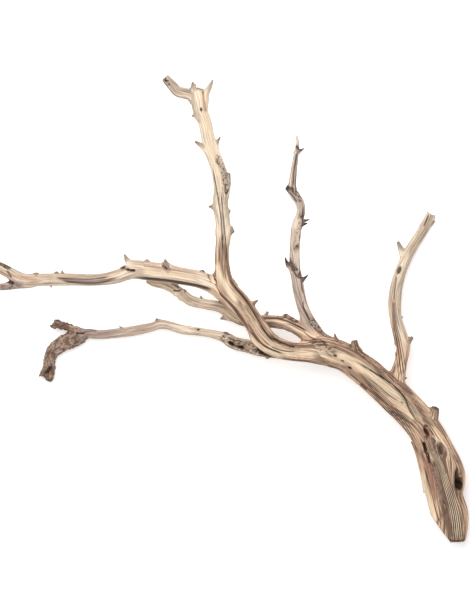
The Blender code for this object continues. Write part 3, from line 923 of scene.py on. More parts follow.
    def skin(self) -> Skin:
        """Lay the grid of points round the pith and close both ends.

        Returns:
            The skin, with the marks that come from the tube itself.
        """
        pith = self.pith
        around = np.arange(self.columns) * math.tau / self.columns
        share = np.linspace(0.0, 1.0, max(int(pith.length / (self.pitch / MM)), self.LEAST_ROWS))[:, None]
        along = share * pith.length + self.cut_start(around) * (1.0 - share) ** 4
        angle = np.repeat(around[None], len(along), axis=0)
        swell = 1.0 + self.lumps * grain_noise(angle, along, *self.SWELL, self.seed + self.SWELL_SEED)
        points = pith.surface(angle, along, swell)
        rows, shares = self.tip_rows(points[-1], around)
        tip_along = pith.length + (1.0 - shares) * pith.radius[-1] + np.zeros((1, self.columns))
        body = np.vstack((np.ones(angle.shape), np.zeros(tip_along.shape)))
        points, along = np.vstack((points, rows)), np.vstack((along, tip_along))
        if self.cuts:
            face = self.cut_face(points[0])
            points = np.vstack((face, points))
            along = np.vstack((np.repeat(along[:1], len(face), axis=0), along))
            body = np.vstack((np.zeros(face.shape[:2]), body))
        angle = np.repeat(around[None], len(points), axis=0)
        made = Skin(points, angle, along, body, np.interp(along, pith.along, pith.radius))
        self.colour(made)
        return made

    def colour(self, skin: Skin) -> None:
        """Mark the broken ends, the weathered tip, the root and the bark.

        Args:
            skin: This tube's skin, changed in place.
        """
        marks, along = skin.marks, skin.along
        if self.cuts or self.tip in (Tip.SNAPPED, Tip.HOLLOWED):
            marks["end"] = 1.0 - skin.body
        marks["grey"] = self.weathered * ease(*self.GREYING, along / self.pith.length)
        marks["dark"] = self.dirty * ease(*self.DARKENING, along / self.pith.length)
        if self.root:
            start, end = self.root
            marks["root"] = ease(end / MM, start / MM, along)
        if self.crusts:
            far, *pitches = self.TORN
            torn = far * grain_noise(skin.angle, along, *pitches, self.seed + self.TORN_SEED)
            start = self.bark_from / MM
            marks["bark"] = ease(start, start + self.BARK_EDGE, along + torn)

    def plane(self, skin: Skin) -> None:
        """Flatten the skin's side along every facet near its root.

        Args:
            skin: This tube's skin, changed in place.
        """
        for facet in self.facets:
            share = ease(*self.FACET_END, skin.along)
            moved = facet.shave(skin.points, self.FACET_EDGE) - skin.points
            skin.points = skin.points + moved * share[..., None]
            flat = ease(0.0, self.FLATTENED, np.linalg.norm(moved, axis=-1))
            skin.calm = skin.calm * (1.0 - self.SMOOTHED * flat * share)

    def flow(self, skin: Skin, neighbours: list["Tube"]) -> None:
        """Let the skin flow into its neighbours where they meet.

        Args:
            skin: This tube's skin, changed in place.
            neighbours: The tubes that it touches.
        """
        points, own = skin.points.reshape(-1, 3), self.pith
        others = [(other.pith, min(self.reach, other.reach) / MM) for other in neighbours]
        near = np.any([other.nearby(points, reach) for other, reach in others], axis=0)
        if not near.any():
            return
        start = moved = points[near]
        level = own.clearance(start)[0]
        for _ in range(self.STEPS):
            value, way = own.clearance(moved)
            value = value - level
            for other, reach in others:
                apart, out = other.clearance(moved)
                share = np.clip(0.5 + 0.5 * (value - apart) / reach, 0.0, 1.0)
                value = value * (1.0 - share) + apart * share - reach * share * (1.0 - share)
                way = way * (1.0 - share[:, None]) + out * share[:, None]
            moved = moved - unit(way) * value[:, None]
        value = own.clearance(moved)[0] - level
        lost = np.max([value - other.clearance(moved)[0] for other, _ in others], axis=0)
        moved = moved - unit(way) * (self.SEAM * ease(0.0, self.UNDER, lost))[:, None]
        deepest = np.min([other.clearance(start)[0] for other, _ in others], axis=0)
        keep = ease(*self.KEPT, deepest)[:, None]
        points[near] = start * (1.0 - keep) + moved * keep
        skin.points = points.reshape(skin.points.shape)
        calm = np.ones(len(points))
        outside, clear = ease(self.UNDER, 0.0, lost), ease(0.0, -self.CLEAR, lost)
        calm[near] = self.VALLEY * outside + (1.0 - self.VALLEY) * clear
        skin.calm = calm.reshape(skin.angle.shape)

    def carve(self, skin: Skin, knots: tuple[Knot, ...], lines: tuple[Line, ...]) -> None:
        """Shape cords, bark, knots and streaks in the skin.

        Args:
            skin: This tube's skin, changed in place.
            knots: The knots on it.
            lines: The furrows, lips, ribs and stains on it.
        """
        marks = skin.marks
        skin.wound = skin.angle - self.wind * skin.along
        turn, *pitches = self.BEND
        skin.wound = skin.wound - turn * grain_noise(skin.angle, skin.along, *pitches, self.seed + self.BEND_SEED)
        skin.bend_grain(knots)
        height = np.zeros(skin.angle.shape)
        bare = skin.body * skin.calm * (1.0 - marks["bark"])
        for line in lines:
            if isinstance(line, Ribs):
                bare = bare * (1.0 - self.RIBBED * line.band(skin.points)[1] * skin.seen())
        for strands in self.strands:
            relief, hollow, tone = strands.relief(skin.wound, skin.along)
            height += relief * bare
            marks["hollow"] = np.maximum(marks["hollow"], hollow * bare)
            marks["tone"] = marks["tone"] + tone * bare
        for crust in self.crusts:
            relief, hollow = crust.relief(skin.points)
            height += relief * marks["bark"]
            marks["hollow"] = np.maximum(marks["hollow"], hollow * marks["bark"])
        skin.press(height)
        skin.carve_knots(knots)
        skin.draw_lines(lines)
        skin.points[..., 2] = np.maximum(skin.points[..., 2], 0.0)


def spur_tube(sizes: SpurSizes, seed: int, tips: tuple[float, float], crusts: tuple[Crust, ...]) -> Tube:
    """Make a snapped twig or thorn.

    Args:
        sizes: Its root, its tip, its radius at the root and the share of it that is left at the tip.
        seed: Picks its bend and its splinters.
        tips: Strength of the grey and of the dark at its tip.
        crusts: Its bark, if any.

    Returns:
        The tube.
    """
    root, tip, radius, blunt = np.array(sizes[0]), np.array(sizes[1]), sizes[2], sizes[3]
    way = tip - root
    bend = np.random.default_rng(seed).uniform(-SPUR_BEND, SPUR_BEND, 3) * np.linalg.norm(way)
    end = max(radius * blunt, SPUR_LEAST)
    sunk, wider = SPUR_SUNK
    bends = [
        (*(root + way * share + bend * bent), radius * (1.0 - taper) + end * taper) for share, bent, taper in SPUR_STEPS
    ]
    return Tube(
        ((*(root - way * sunk), radius * wider), (*root, radius), *bends, (*tip, end)), columns=28, pitch=0.7,
        tip=Tip.SNAPPED if blunt > 0.3 else Tip.POINTED, reach=min(radius * 0.9, 6), crusts=crusts,
        strands=(Strands(5, radius * 0.13, 0.3, 12, seed, gaps=0.2),), lumps=0.10, wind=14.0,
        seed=seed, weathered=tips[0], dirty=tips[1],
    )


def join_shells(shells: list[Shell]) -> Shell:
    """Put several closed shells into one, side by side.

    Args:
        shells: The shells.

    Returns:
        One shell with all their points and faces.
    """
    first = np.cumsum([0] + [len(shell.points) for shell in shells])
    quads, tris = (
        np.vstack([getattr(shell, part) + start for shell, start in zip(shells, first)]) for part in ("quads", "tris")
    )
    points, grain, facing = (
        np.vstack([getattr(shell, part) for shell in shells]) for part in ("points", "grain", "facing")
    )
    marks = {name: np.concatenate([shell.marks[name] for shell in shells]) for name in MARKS}
    return Shell(points, quads, tris, grain, facing, marks)


def make_piece(name: str, shell: Shell, material: bpy.types.Material) -> bpy.types.Object:
    """Make an object of a shell, with its grain and marks on its points.

    Args:
        name: The object's name.
        shell: Its points, faces, grain and marks.
        material: Its finish.

    Returns:
        The object, linked to the scene.
    """
    mesh = bpy.data.meshes.new(name)
    mesh.from_pydata(shell.points.tolist(), [], shell.quads.tolist() + shell.tris.tolist())
    mesh.attributes.new("grain", "FLOAT_VECTOR", "POINT").data.foreach_set("vector", shell.grain.ravel())
    for mark, values in shell.marks.items():
        mesh.attributes.new(mark, "FLOAT", "POINT").data.foreach_set("value", np.clip(values, 0.0, 1.0))
    mesh.materials.append(material)
    mesh.shade_smooth()
    mesh.normals_split_custom_set_from_vertices(shell.facing.tolist())
    piece = bpy.data.objects.new(name, mesh)
    bpy.context.scene.collection.objects.link(piece)
    return piece


def linear(colour: Colour) -> tuple[float, float, float, float]:
    """Turn a screen colour of 0 to 255 into the linear colour of a shader."""
    return (*(((part / 255.0 + 0.055) / 1.055) ** 2.4 for part in colour), 1.0)


class Graph:
    """Adds nodes to one node tree and joins them."""

    def __init__(self, tree: bpy.types.NodeTree) -> None:
        """Keep the tree that the nodes go into."""
        self.tree = tree

    def feed(self, node: bpy.types.Node, inputs: dict[str | int, object]) -> None:
        """Join a node's inputs to sockets, or set them to plain values.

        Args:
            node: The node.
            inputs: Values or sockets for its inputs, by name or number.
        """
        for name, value in inputs.items():
            if isinstance(value, Socket):
                self.tree.links.new(value, node.inputs[name])
            else:
                node.inputs[name].default_value = value

    def add(self, kind: str, inputs: dict[str | int, object] | None = None, **settings: object) -> bpy.types.Node:
        """Add a node.

        Args:
            kind: The end of the node's type name.
            inputs: Values or sockets for its inputs, by name or number.
            settings: Its own settings.

        Returns:
            The node.
        """
        node = self.tree.nodes.new(kind if kind.startswith("Node") else "ShaderNode" + kind)
        for name, value in settings.items():
            setattr(node, name, value)
        self.feed(node, inputs or {})
        return node

    def math(self, operation: str, a: object, b: object = 0.0) -> Socket:
        """Work out one step with two numbers, kept between 0 and 1."""
        return self.add("Math", {0: a, 1: b}, operation=operation, use_clamp=True).outputs[0]

    def times(self, a: object, b: object) -> Socket:
        """Multiply two numbers."""
        return self.math("MULTIPLY", a, b)

    def blend(self, share: object, a: object, b: object) -> Socket:
        """Blend colour b over colour a."""
        return self.add("Mix", {0: share, 6: a, 7: b}, data_type="RGBA").outputs[2]

    def ramp(self, value: object, low: float, high: float, start: float = 0.0, end: float = 1.0) -> Socket:
        """Rise smoothly from start to end while a value goes from low to high."""
        ends = {0: value, 1: low, 2: high, 3: start, 4: end}
        return self.add("MapRange", ends, interpolation_type="SMOOTHSTEP").outputs[0]

    def noise(self, places: object, across: float, along: float, detail: float = 2.0) -> Socket:
        """Make noise about 0.5, with so many changes in a metre across the grain and along it."""
        scaled = self.add("VectorMath", {0: places, 1: (across, across, along)}, operation="MULTIPLY").outputs[0]
        return self.add("TexNoise", {"Vector": scaled, "Scale": 1.0, "Detail": detail, "Roughness": 0.55}).outputs[0]

    def hairlines(self, places: object, across: float, along: float, width: float) -> Socket:
        """Draw thin winding lines along the grain.

        Args:
            places: The grain's coordinates.
            across: Changes in a metre across the grain of the noise that they follow.
            along: Changes in a metre along it.
            width: Their width, as a share of the noise.

        Returns:
            A socket that is 1 on the lines.
        """
        wave = self.noise(places, across, along, 1.0)
        apart = self.math("ADD", self.math("SUBTRACT", wave, 0.5), self.math("SUBTRACT", 0.5, wave))
        return self.ramp(apart, 0.0, width, 1.0, 0.0)

    def group(self, name: str, inputs: dict[str, object]) -> dict[str, Socket]:
        """Add a node group that has been made.

        Args:
            name: The group's name.
            inputs: Values or sockets for its inputs, by name.

        Returns:
            Its outputs, by name.
        """
        node = self.add("Group", node_tree=bpy.data.node_groups[name])
        self.feed(node, inputs)
        return dict(node.outputs.items())


def new_group(
    name: str, inputs: dict[str, str], outputs: tuple[str, ...]
) -> tuple[Graph, dict[str, Socket], bpy.types.Node]:
    """Start a node group with named sockets.

    Args:
        name: The group's name.
        inputs: The type of each input, by name.
        outputs: Name of each output, of which "Colour" is a colour and the others are numbers.

    Returns:
        The group's graph, the sockets of its inputs by name, and the node that takes its outputs.
    """
    group = bpy.data.node_groups.new(name, "ShaderNodeTree")
    for label, kind in inputs.items():
        group.interface.new_socket(name=label, in_out="INPUT", socket_type="NodeSocket" + kind)
    for label in outputs:
        kind = "Color" if label == "Colour" else "Float"
        group.interface.new_socket(name=label, in_out="OUTPUT", socket_type="NodeSocket" + kind)
    graph = Graph(group)
    return graph, dict(graph.add("NodeGroupInput").outputs.items()), graph.add("NodeGroupOutput")


def make_grain_lines() -> None:
    """Make the group that draws bands, streaks, hairlines and fibres along the grain."""
    graph, given, out = new_group("grain_lines", {"Grain": "Vector"}, ("Bands", "Streaks", "Lines", "Fibres", "Height"))
    grain = given["Grain"]
    fibres = graph.ramp(graph.noise(grain, 900.0, 22.0, 3.0), 0.38, 0.62)
    broken = graph.ramp(graph.noise(grain, 90.0, 20.0, 2.0), 0.38, 0.52)
    wide, fine = graph.hairlines(grain, 140.0, 5.0, 0.085), graph.hairlines(grain, 300.0, 8.0, 0.12)
    lines = graph.times(graph.math("MAXIMUM", wide, fine), broken)
    graph.feed(out, {
        "Bands": graph.ramp(graph.noise(grain, 300.0, 8.0, 3.0), 0.36, 0.64),
        "Streaks": graph.ramp(graph.noise(grain, 420.0, 9.0, 3.0), 0.53, 0.61),
        "Lines": lines,
        "Fibres": fibres,
        "Height": graph.math("ADD", graph.times(fibres, 0.4), graph.math("SUBTRACT", 0.5, lines)),
    })


def make_weathering() -> None:
    """Make the group that lays the stains, furrows, bleached ridges, painted shade and painted highlight over the
    wood's own colour.
    """
    colours = ("Wood", "Pale Stain", "Red Stain", "Grey Stain", "Furrow", "Hole", "Broken End")
    values = ("Fibres", "Hollow", "Dark", "Pale", "Red", "Grey", "End")
    inputs = dict.fromkeys(colours, "Color") | dict.fromkeys(values, "Float")
    graph, given, out = new_group("weathering", inputs, ("Colour", "Rough"))
    broken = graph.math("SUBTRACT", 1.0, graph.times(given["Fibres"], 0.3))
    colour = given["Wood"]
    for stain in ("Pale", "Red", "Grey"):
        colour = graph.blend(graph.times(given[stain], broken), colour, given[stain + " Stain"])
    colour = graph.blend(graph.times(given["End"], 0.85), colour, given["Broken End"])
    colour = graph.blend(given["Hollow"], colour, given["Furrow"])
    # The Dark mark turns the colour to Hole; it carries real dark marks and the painted shade alike.
    bare = graph.math("SUBTRACT", 1.0, given["Dark"])
    graph.feed(out, {
        "Colour": graph.blend(graph.times(bare, bare), given["Hole"], colour),
        "Rough": graph.ramp(given["Fibres"], 0.0, 1.0, 0.86, 0.70),
    })


def make_bark_plates() -> None:
    """Make the group that breaks bark up into plates, pits and pale flecks."""
    graph, given, out = new_group("bark_plates", {"Grain": "Vector"}, ("Plates", "Flecks", "Height"))
    grain = given["Grain"]
    plates = graph.ramp(graph.noise(grain, 300.0, 110.0, 4.0), 0.36, 0.56)
    flecks = graph.ramp(graph.noise(grain, 700.0, 420.0, 3.0), 0.58, 0.72)
    height = graph.math("ADD", graph.times(plates, 0.5), graph.times(graph.noise(grain, 1500.0, 900.0, 3.0), 0.5))
    graph.feed(out, {"Plates": plates, "Flecks": flecks, "Height": height})


@dataclass(frozen=True)
class WoodFinish:
    """Stripped, sand-blasted wood.

    Attributes:
        name: The material's name.
        light: The bleached bands.
        middle: The bands between them.
        streak: The darker streaks along the grain.
        parent: The wood whose colours it takes at its root.
        furrow: The bottom of the furrows between the cords.
        hole: The bottom of holes, cracks and hairlines, and the painted shade.
        red: The reddish stain.
        pale: The bleached stain, which also lays on the painted highlight.
        grey: The weathered stain.
        end: The broken or sawn end.
        sunk: How dark the furrows between the cords are, 0 to 1.
        streaks: Strength of the streaks, 0 to 1.
        lines: Strength of the hairlines, 0 to 1.
        relief: Height of the finest fibres, in metres.
    """

    name: str
    light: Colour
    middle: Colour
    streak: Colour
    parent: "WoodFinish | None" = None
    furrow: Colour = (112, 84, 67)
    hole: Colour = (62, 43, 34)
    red: Colour = (176, 124, 104)
    pale: Colour = (248, 226, 196)
    grey: Colour = (128, 105, 92)
    end: Colour = (112, 88, 72)
    sunk: float = 0.95
    streaks: float = 0.7
    lines: float = 0.62
    relief: float = 0.0006

    def shade(self, graph: Graph, part: str, root: Socket) -> object:
        """Give one of the wood's colours, which turns to its parent's at the root."""
        own = linear(getattr(self, part))
        return graph.blend(root, own, linear(getattr(self.parent, part))) if self.parent else own

    def strength(self, graph: Graph, part: str, root: Socket) -> object:
        """Give one of the wood's strengths, which turns to its parent's at the root."""
        own = getattr(self, part)
        return graph.ramp(root, 0.0, 1.0, own, getattr(self.parent, part)) if self.parent else own

    def wood(self, graph: Graph, grain: Socket, lines: dict[str, Socket], marks: dict[str, Socket]) -> Socket:
        """Mix the colour of bare wood.

        Args:
            graph: The material's graph.
            grain: The grain's coordinates; not used here.
            lines: The lines of the grain.
            marks: The marks on the points, by name.

        Returns:
            A socket with the colour.
        """
        root, hole = marks["root"], linear(self.hole)
        light, middle, streak = (self.shade(graph, part, root) for part in ("light", "middle", "streak"))
        streaks, hairs = (self.strength(graph, part, root) for part in ("streaks", "lines"))
        tone = graph.math("ADD", graph.times(lines["Bands"], 0.5), graph.times(marks["tone"], 0.5))
        colour = graph.blend(graph.ramp(tone, 0.22, 0.78), middle, light)
        colour = graph.blend(graph.times(lines["Streaks"], streaks), colour, streak)
        colour = graph.blend(graph.ramp(lines["Fibres"], 0.0, 1.0, 0.20, 0.0), colour, hole)
        return graph.blend(graph.times(lines["Lines"], hairs), colour, hole)

    def height(self, graph: Graph, grain: Socket, lines: dict[str, Socket]) -> Socket:
        """Give the height of the finest relief."""
        return lines["Height"]

    def make(self) -> bpy.types.Material:
        """Make the material.

        Returns:
            The material, with the principled shader in its own tree.
        """
        material = bpy.data.materials.new(self.name)
        material.use_nodes = True
        material.node_tree.nodes.clear()
        graph = Graph(material.node_tree)
        grain = graph.add("Attribute", attribute_name="grain").outputs["Vector"]
        marks = {mark: graph.add("Attribute", attribute_name=mark).outputs["Fac"] for mark in MARKS}
        lines = graph.group("grain_lines", {"Grain": grain})
        weathered = graph.group("weathering", {
            "Wood": self.wood(graph, grain, lines, marks), "Pale Stain": linear(self.pale),
            "Red Stain": linear(self.red), "Grey Stain": linear(self.grey), "Furrow": linear(self.furrow),
            "Hole": linear(self.hole), "Broken End": linear(self.end), "Fibres": lines["Fibres"],
            "Hollow": graph.times(marks["hollow"], self.strength(graph, "sunk", marks["root"])),
            **{mark.capitalize(): marks[mark] for mark in ("dark", "pale", "red", "grey", "end")},
        })
        height = self.height(graph, grain, lines)
        bump = graph.add("Bump", {"Height": height, "Distance": self.relief, "Strength": 1.0}).outputs[0]
        shader = graph.add("BsdfPrincipled", {
            "Base Color": weathered["Colour"], "Roughness": weathered["Rough"], "Normal": bump,
            "Specular IOR Level": 0.25,
        })
        graph.add("OutputMaterial", {"Surface": shader.outputs[0]})
        return material


@dataclass(frozen=True)
class BarkFinish(WoodFinish):
    """Greyed wood that passes into rough bark.

    Attributes:
        fleck: The pale flecks on the bark.
        plate: The bark's plates.
        pit: The bark between them.
    """

    fleck: Colour = (198, 180, 164)
    plate: Colour = (166, 144, 127)
    pit: Colour = (96, 74, 64)

    def wood(self, graph: Graph, grain: Socket, lines: dict[str, Socket], marks: dict[str, Socket]) -> Socket:
        """Mix the colour of bare wood with that of the bark.

        Args:
            graph: The material's graph.
            grain: The grain's coordinates.
            lines: The lines of the grain.
            marks: The marks on the points, by name.

        Returns:
            A socket with the colour.
        """
        plates = graph.group("bark_plates", {"Grain": grain})
        bark = graph.blend(plates["Plates"], linear(self.pit), linear(self.plate))
        bark = graph.blend(graph.times(plates["Flecks"], 0.55), bark, linear(self.fleck))
        return graph.blend(marks["bark"], super().wood(graph, grain, lines, marks), bark)

    def height(self, graph: Graph, grain: Socket, lines: dict[str, Socket]) -> Socket:
        """Give the height of the bark's plates."""
        return graph.group("bark_plates", {"Grain": grain})["Height"]


WARM_WOOD = WoodFinish(
    "warm_ridged_wood", light=(250, 216, 183), middle=(229, 190, 159), streak=(174, 134, 110), lines=0.82
)
PALE_WOOD = WoodFinish(
    "pale_stripped_wood", light=(252, 235, 211), middle=(232, 208, 182), streak=(186, 152, 128), parent=WARM_WOOD,
    grey=(146, 121, 117), sunk=0.7, streaks=0.5, lines=0.42,
)
GREY_WOOD = WoodFinish(
    "greyed_wood", light=(240, 220, 203), middle=(218, 194, 174), streak=(156, 129, 114), parent=WARM_WOOD, lines=0.45,
    grey=(140, 119, 111), end=(142, 118, 108), sunk=0.55,
)
BARK = BarkFinish(
    "rough_bark", light=(192, 174, 164), middle=(160, 140, 130), streak=(112, 92, 84), grey=(128, 108, 102)
)


@dataclass
class Limb:
    """A limb with everything that grows on it.

    Attributes:
        name: The limb's name and its solid's.
        slot: The record's material slot; not used.
        finish: Its wood.
        main: Its main tube.
        shoots: Side tubes that belong to it.
        spurs: Snapped twigs and thorns, as in its solid.
        knots: Its knots, holes and lumps.
        streaks: Its furrows, lips and stains, with painted shade and a painted highlight among them on some limbs.
        tips: Strength of the grey and of the dark at the spurs' tips.
        part: The stretch of the main tube that the limb takes, as lengths along the pith.
    """

    name: str
    slot: str
    finish: WoodFinish
    main: Tube
    shoots: tuple[Tube, ...] = ()
    spurs: tuple[SpurSizes, ...] = ()
    knots: tuple[Knot, ...] = ()
    streaks: tuple[Line, ...] = ()
    tips: tuple[float, float] = (0.6, 0.15)
    part: tuple[float, float] | None = None

    def thorn_tubes(self) -> list[Tube]:
        """Make the tube of every spur."""
        seed = sum(self.name.encode())
        return [spur_tube(sizes, seed + index, self.tips, self.main.crusts) for index, sizes in enumerate(self.spurs)]

    def carved_skin(self, tube: Tube, neighbours: list[Tube]) -> Skin:
        """Lay a tube's skin, let it flow into its neighbours and carve it.

        Args:
            tube: The tube.
            neighbours: The tubes that it touches.

        Returns:
            The carved skin, of which the main tube's is the limb's own part alone.
        """
        skin = tube.skin()
        tube.flow(skin, neighbours)
        tube.plane(skin)
        tube.carve(skin, self.knots if tube is self.main else (), self.streaks)
        skin.facing = skin.outward()
        if tube is self.main and self.part:
            start, end = self.part
            return skin.stretch(start / MM, end / MM)
        return skin

    def shells(self, neighbours: list[Tube]) -> list[Shell]:
        """Build every shell of the limb.

        Args:
            neighbours: Main tubes of the limbs that it meets.

        Returns:
            The closed shells, the main one first.
        """
        stems, thorns = [self.main, *self.shoots], self.thorn_tubes()
        made = []
        for tube in stems + thorns:
            near = stems if tube in thorns else [other for other in stems + thorns if other is not tube] + neighbours
            radius = float(np.mean([station[3] for station in tube.stations])) / MM
            made.append(self.carved_skin(tube, near).shell(radius))
        return made

    def dress(self, shell: Shell, woods: Woods) -> bpy.types.Object:
        """Make the limb's piece, tie it to the frame and give it its finish.

        Args:
            shell: The limb's whole surface.
            woods: Every finish's material, by name.

        Returns:
            The piece.
        """
        piece = make_piece(self.name + "_skin", shell, woods[self.finish.name])
        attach(piece, "root")
        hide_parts(self.name)
        return piece

    def build(self, woods: Woods, neighbours: list[Tube]) -> list[bpy.types.Object]:
        """Build the limb's one piece, which flows into the main tubes of the limbs that it meets."""
        return [self.dress(join_shells(self.shells(neighbours)), woods)]


THIN_CORDS = (Strands(6, 1, 0.25, 70, 31, 0.15, 0.25), Strands(17, 0.4, 0.4, 50, 32, 0.3))

TRUNK_TUBE = Tube(
    stations=(
        (345, -396, 24, 28), (351, -362, 26, 29.7), (353, -331, 28, 30.2), (346.5, -300, 28, 29.4),
        (345, -267, 29, 33.4), (332.5, -232, 31, 29.8), (315, -196, 37, 27), (288, -162, 42, 26.6),
        (250.2, -127.8, 48, 24.8), (217.5, -99.3, 53, 23.2), (187, -78, 58, 22.5), (159, -65.8, 61, 20.8),
        (142, -63.2, 61, 17.4), (127, -62.5, 60, 10),
    ),
    columns=276, pitch=1.8, reach=16, lumps=0.035, wind=2.0, seed=3,
    strands=(
        Strands(10, 1.5, 0.16, 180, 11, 0.13, 0.1, 0.15), Strands(31, 1.1, 0.14, 140, 12, 0.25, -0.2, 0.25),
        Strands(61, 0.9, 0.14, 120, 13, 0.25, -0.1, 0.3),
    ),
    facets=(Cut((327, -322, 43.5), (-0.75, -0.12, 0.63)),),
    cuts=(
        Cut((338, -347.5, 28), (-0.78, -0.62, -0.12)),
        Cut((368, -369.2, 28), (-0.10, -1.0, -0.20)),
    ),
)
FRONT_TUBE = Tube(
    stations=(
        (162, -78, 62, 12), (130, -71, 66, 15), (98, -67, 73, 15.2), (66.5, -55.2, 80, 16.1), (43.5, -27.5, 87, 15.9),
        (20, 6, 93, 16), (-5, 36, 97, 15.6), (-10.8, 66, 98, 12), (-11, 94, 99, 11), (-9, 115, 100, 11.2),
        (-10, 139, 102, 11.6), (-14, 170, 103, 12.2), (-12, 190, 104, 12.4), (-14, 210, 104, 12.4),
        (-20.8, 234, 103, 11.6), (-28.5, 254, 101, 11), (-34, 275, 99, 10.2), (-38, 296, 96, 10.4),
        (-45, 314, 93, 11.4), (-48, 332, 90, 12), (-51, 347, 88, 8.8),
    ),
    columns=152, pitch=1.1, tip=Tip.SNAPPED, reach=12, lumps=0.04, wind=1.2, seed=5, root=(252.5, 330),
    strands=(
        Strands(19, 1.2, 0.10, 220, 21, 0.20, -0.5, 0.25), Strands(35, 0.8, 0.14, 160, 22, 0.26, -0.3, 0.3),
    ),
)
LEFT_TUBE = Tube(
    stations=(
        (18, -4, 86, 9), (-1, 18, 89, 12.4), (-22, 36, 92, 14), (-48, 47, 94, 13.6), (-78, 53, 93, 13.6),
        (-102, 57.7, 90, 14.7), (-126, 60, 86, 14.6), (-150, 61.6, 82, 13), (-164, 57.6, 80, 11.4),
        (-178, 52, 78, 10.6), (-198, 48, 75, 9.6), (-222, 46.5, 72, 9.2), (-246, 47, 69, 9.4), (-270, 47, 66, 9.8),
        (-298, 47, 63, 9.8), (-328, 47, 60, 10), (-349, 57, 58, 9.4), (-366, 66, 55, 8.8), (-383, 75, 52, 6),
    ),
    columns=112, pitch=1.3, tip=Tip.SNAPPED, reach=12, wind=1.5, seed=7, root=(30, 85),
    strands=(Strands(9, 1, 0.14, 160, 41, 0.16, 0.2, 0.15), Strands(24, 0.5, 0.25, 100, 42, 0.35, 0.3, 0.2)),
)
BACK_TUBE = Tube(
    stations=(
        (154, -60, 54, 11), (134, -48, 55, 12), (118, -36, 53, 11.2), (98, -25, 49, 10.6), (78, -21, 45, 10.4),
        (58, -20, 43, 10.2), (36, -20, 41, 10.2), (18, -15, 39, 10.4), (4, -7, 37, 10.2), (-14, 3, 36, 8.8),
        (-38, 8, 36, 7.8), (-62, 14, 38, 8.2), (-79.5, 26.8, 41, 8), (-101.5, 38, 44, 7), (-121, 42, 47, 5.8),
        (-130, 44, 48, 3),
    ),
    columns=92, pitch=1.2, reach=12, wind=2.5, seed=9, root=(100, 200),
    strands=(Strands(9, 1.1, 0.16, 120, 51, 0.2, 0.0, 0.2), Strands(22, 0.5, 0.3, 80, 52, 0.35)),
)
LOW_TUBE = Tube(
    stations=(
        (134, -72, 48, 10), (104, -73, 43, 10.2), (78, -69, 38, 10.6), (52, -65.5, 34, 11), (30, -59.7, 30, 10.6),
        (10, -55, 27, 10.4), (-4, -47, 25, 8.8), (-26, -40.3, 23, 6.8), (-50, -36.3, 21, 6.6), (-76, -32.5, 19, 7.2),
        (-94, -27.2, 18, 7), (-110, -24.5, 17, 7.2), (-124, -29, 16, 7), (-146, -34, 15.5, 7.8), (-174, -38, 15, 7.6),
        (-206, -41, 14, 7.2), (-226, -40, 13, 7.2), (-238, -44, 12.5, 7),
    ),
    columns=80, pitch=1.2, reach=10, wind=4.0, seed=11, strands=THIN_CORDS, root=(50, 120), weathered=0.45,
)
BARK_CRUSTS = (Crust(5.5, 1.3, 61), Crust(2.6, 0.9, 63))
BARKED_TUBE = Tube(
    stations=(
        (-206, -40.5, 13.5, 6), (-226, -40, 13, 7.4), (-238, -44, 12.5, 10), (-254, -51, 11, 12.8),
        (-270, -58, 9.8, 12.4), (-282, -67, 9.8, 11), (-287, -80, 9.8, 9.4), (-289, -95, 10, 9.2),
        (-293, -110, 10.2, 10),
    ),
    columns=120, pitch=0.8, tip=Tip.HOLLOWED, reach=6, lumps=0.12, wind=3.0, seed=13,
    strands=THIN_CORDS, crusts=BARK_CRUSTS, bark_from=28,
)
MIDDLE_TUBE = Tube(
    stations=(
        (152, -60, 54, 12.5), (139, -40, 55, 12.2), (126.6, -18, 56, 10), (117.8, 4, 60, 9), (112, 26, 63, 9.2),
        (109, 46, 65, 9), (106, 64, 68, 8.4), (105, 86, 70, 8), (106, 110, 72, 8), (108.8, 134, 73, 7.6),
        (114.8, 156, 74, 7.4), (112.3, 171, 75, 7.4), (101.5, 188, 76, 7), (102, 208, 77, 5.6), (106, 238, 79, 4.4),
        (108.5, 254, 80, 3.6), (109.8, 266, 81, 2.6), (108, 275, 81, 1.8),
    ),
    columns=84, pitch=1.2, reach=12, lumps=0.13, wind=5.0, seed=15, root=(15, 40),
    strands=(Strands(11, 0.7, 0.2, 100, 71, 0.16, 0.4, 0.15), Strands(19, 0.5, 0.4, 60, 72, 0.2)), weathered=0.1,
)
RIGHT_TUBE = Tube(
    stations=(
        (262, -138, 44, 16), (269, -111, 43, 13.6), (275.2, -86, 40, 10.6), (278.4, -64, 37, 11.2),
        (274.8, -44, 34, 11.2), (268.3, -20, 30, 10.4), (265.5, 4, 26, 10.2), (267.7, 30, 22, 10),
        (273.5, 54, 18, 9.6), (282, 76, 14, 9), (292, 96, 10.5, 8.6), (303, 113, 7.8, 8.4), (314, 131, 6.6, 8.4),
        (324, 152, 7, 7.6),
    ),
    columns=96, pitch=1.2, tip=Tip.SNAPPED, reach=8, wind=2.0, seed=17, root=(50, 125),
    strands=(Strands(8, 1.1, 0.16, 140, 81, 0.2, 0.1, 0.2), Strands(22, 0.5, 0.3, 80, 82, 0.35)),
)


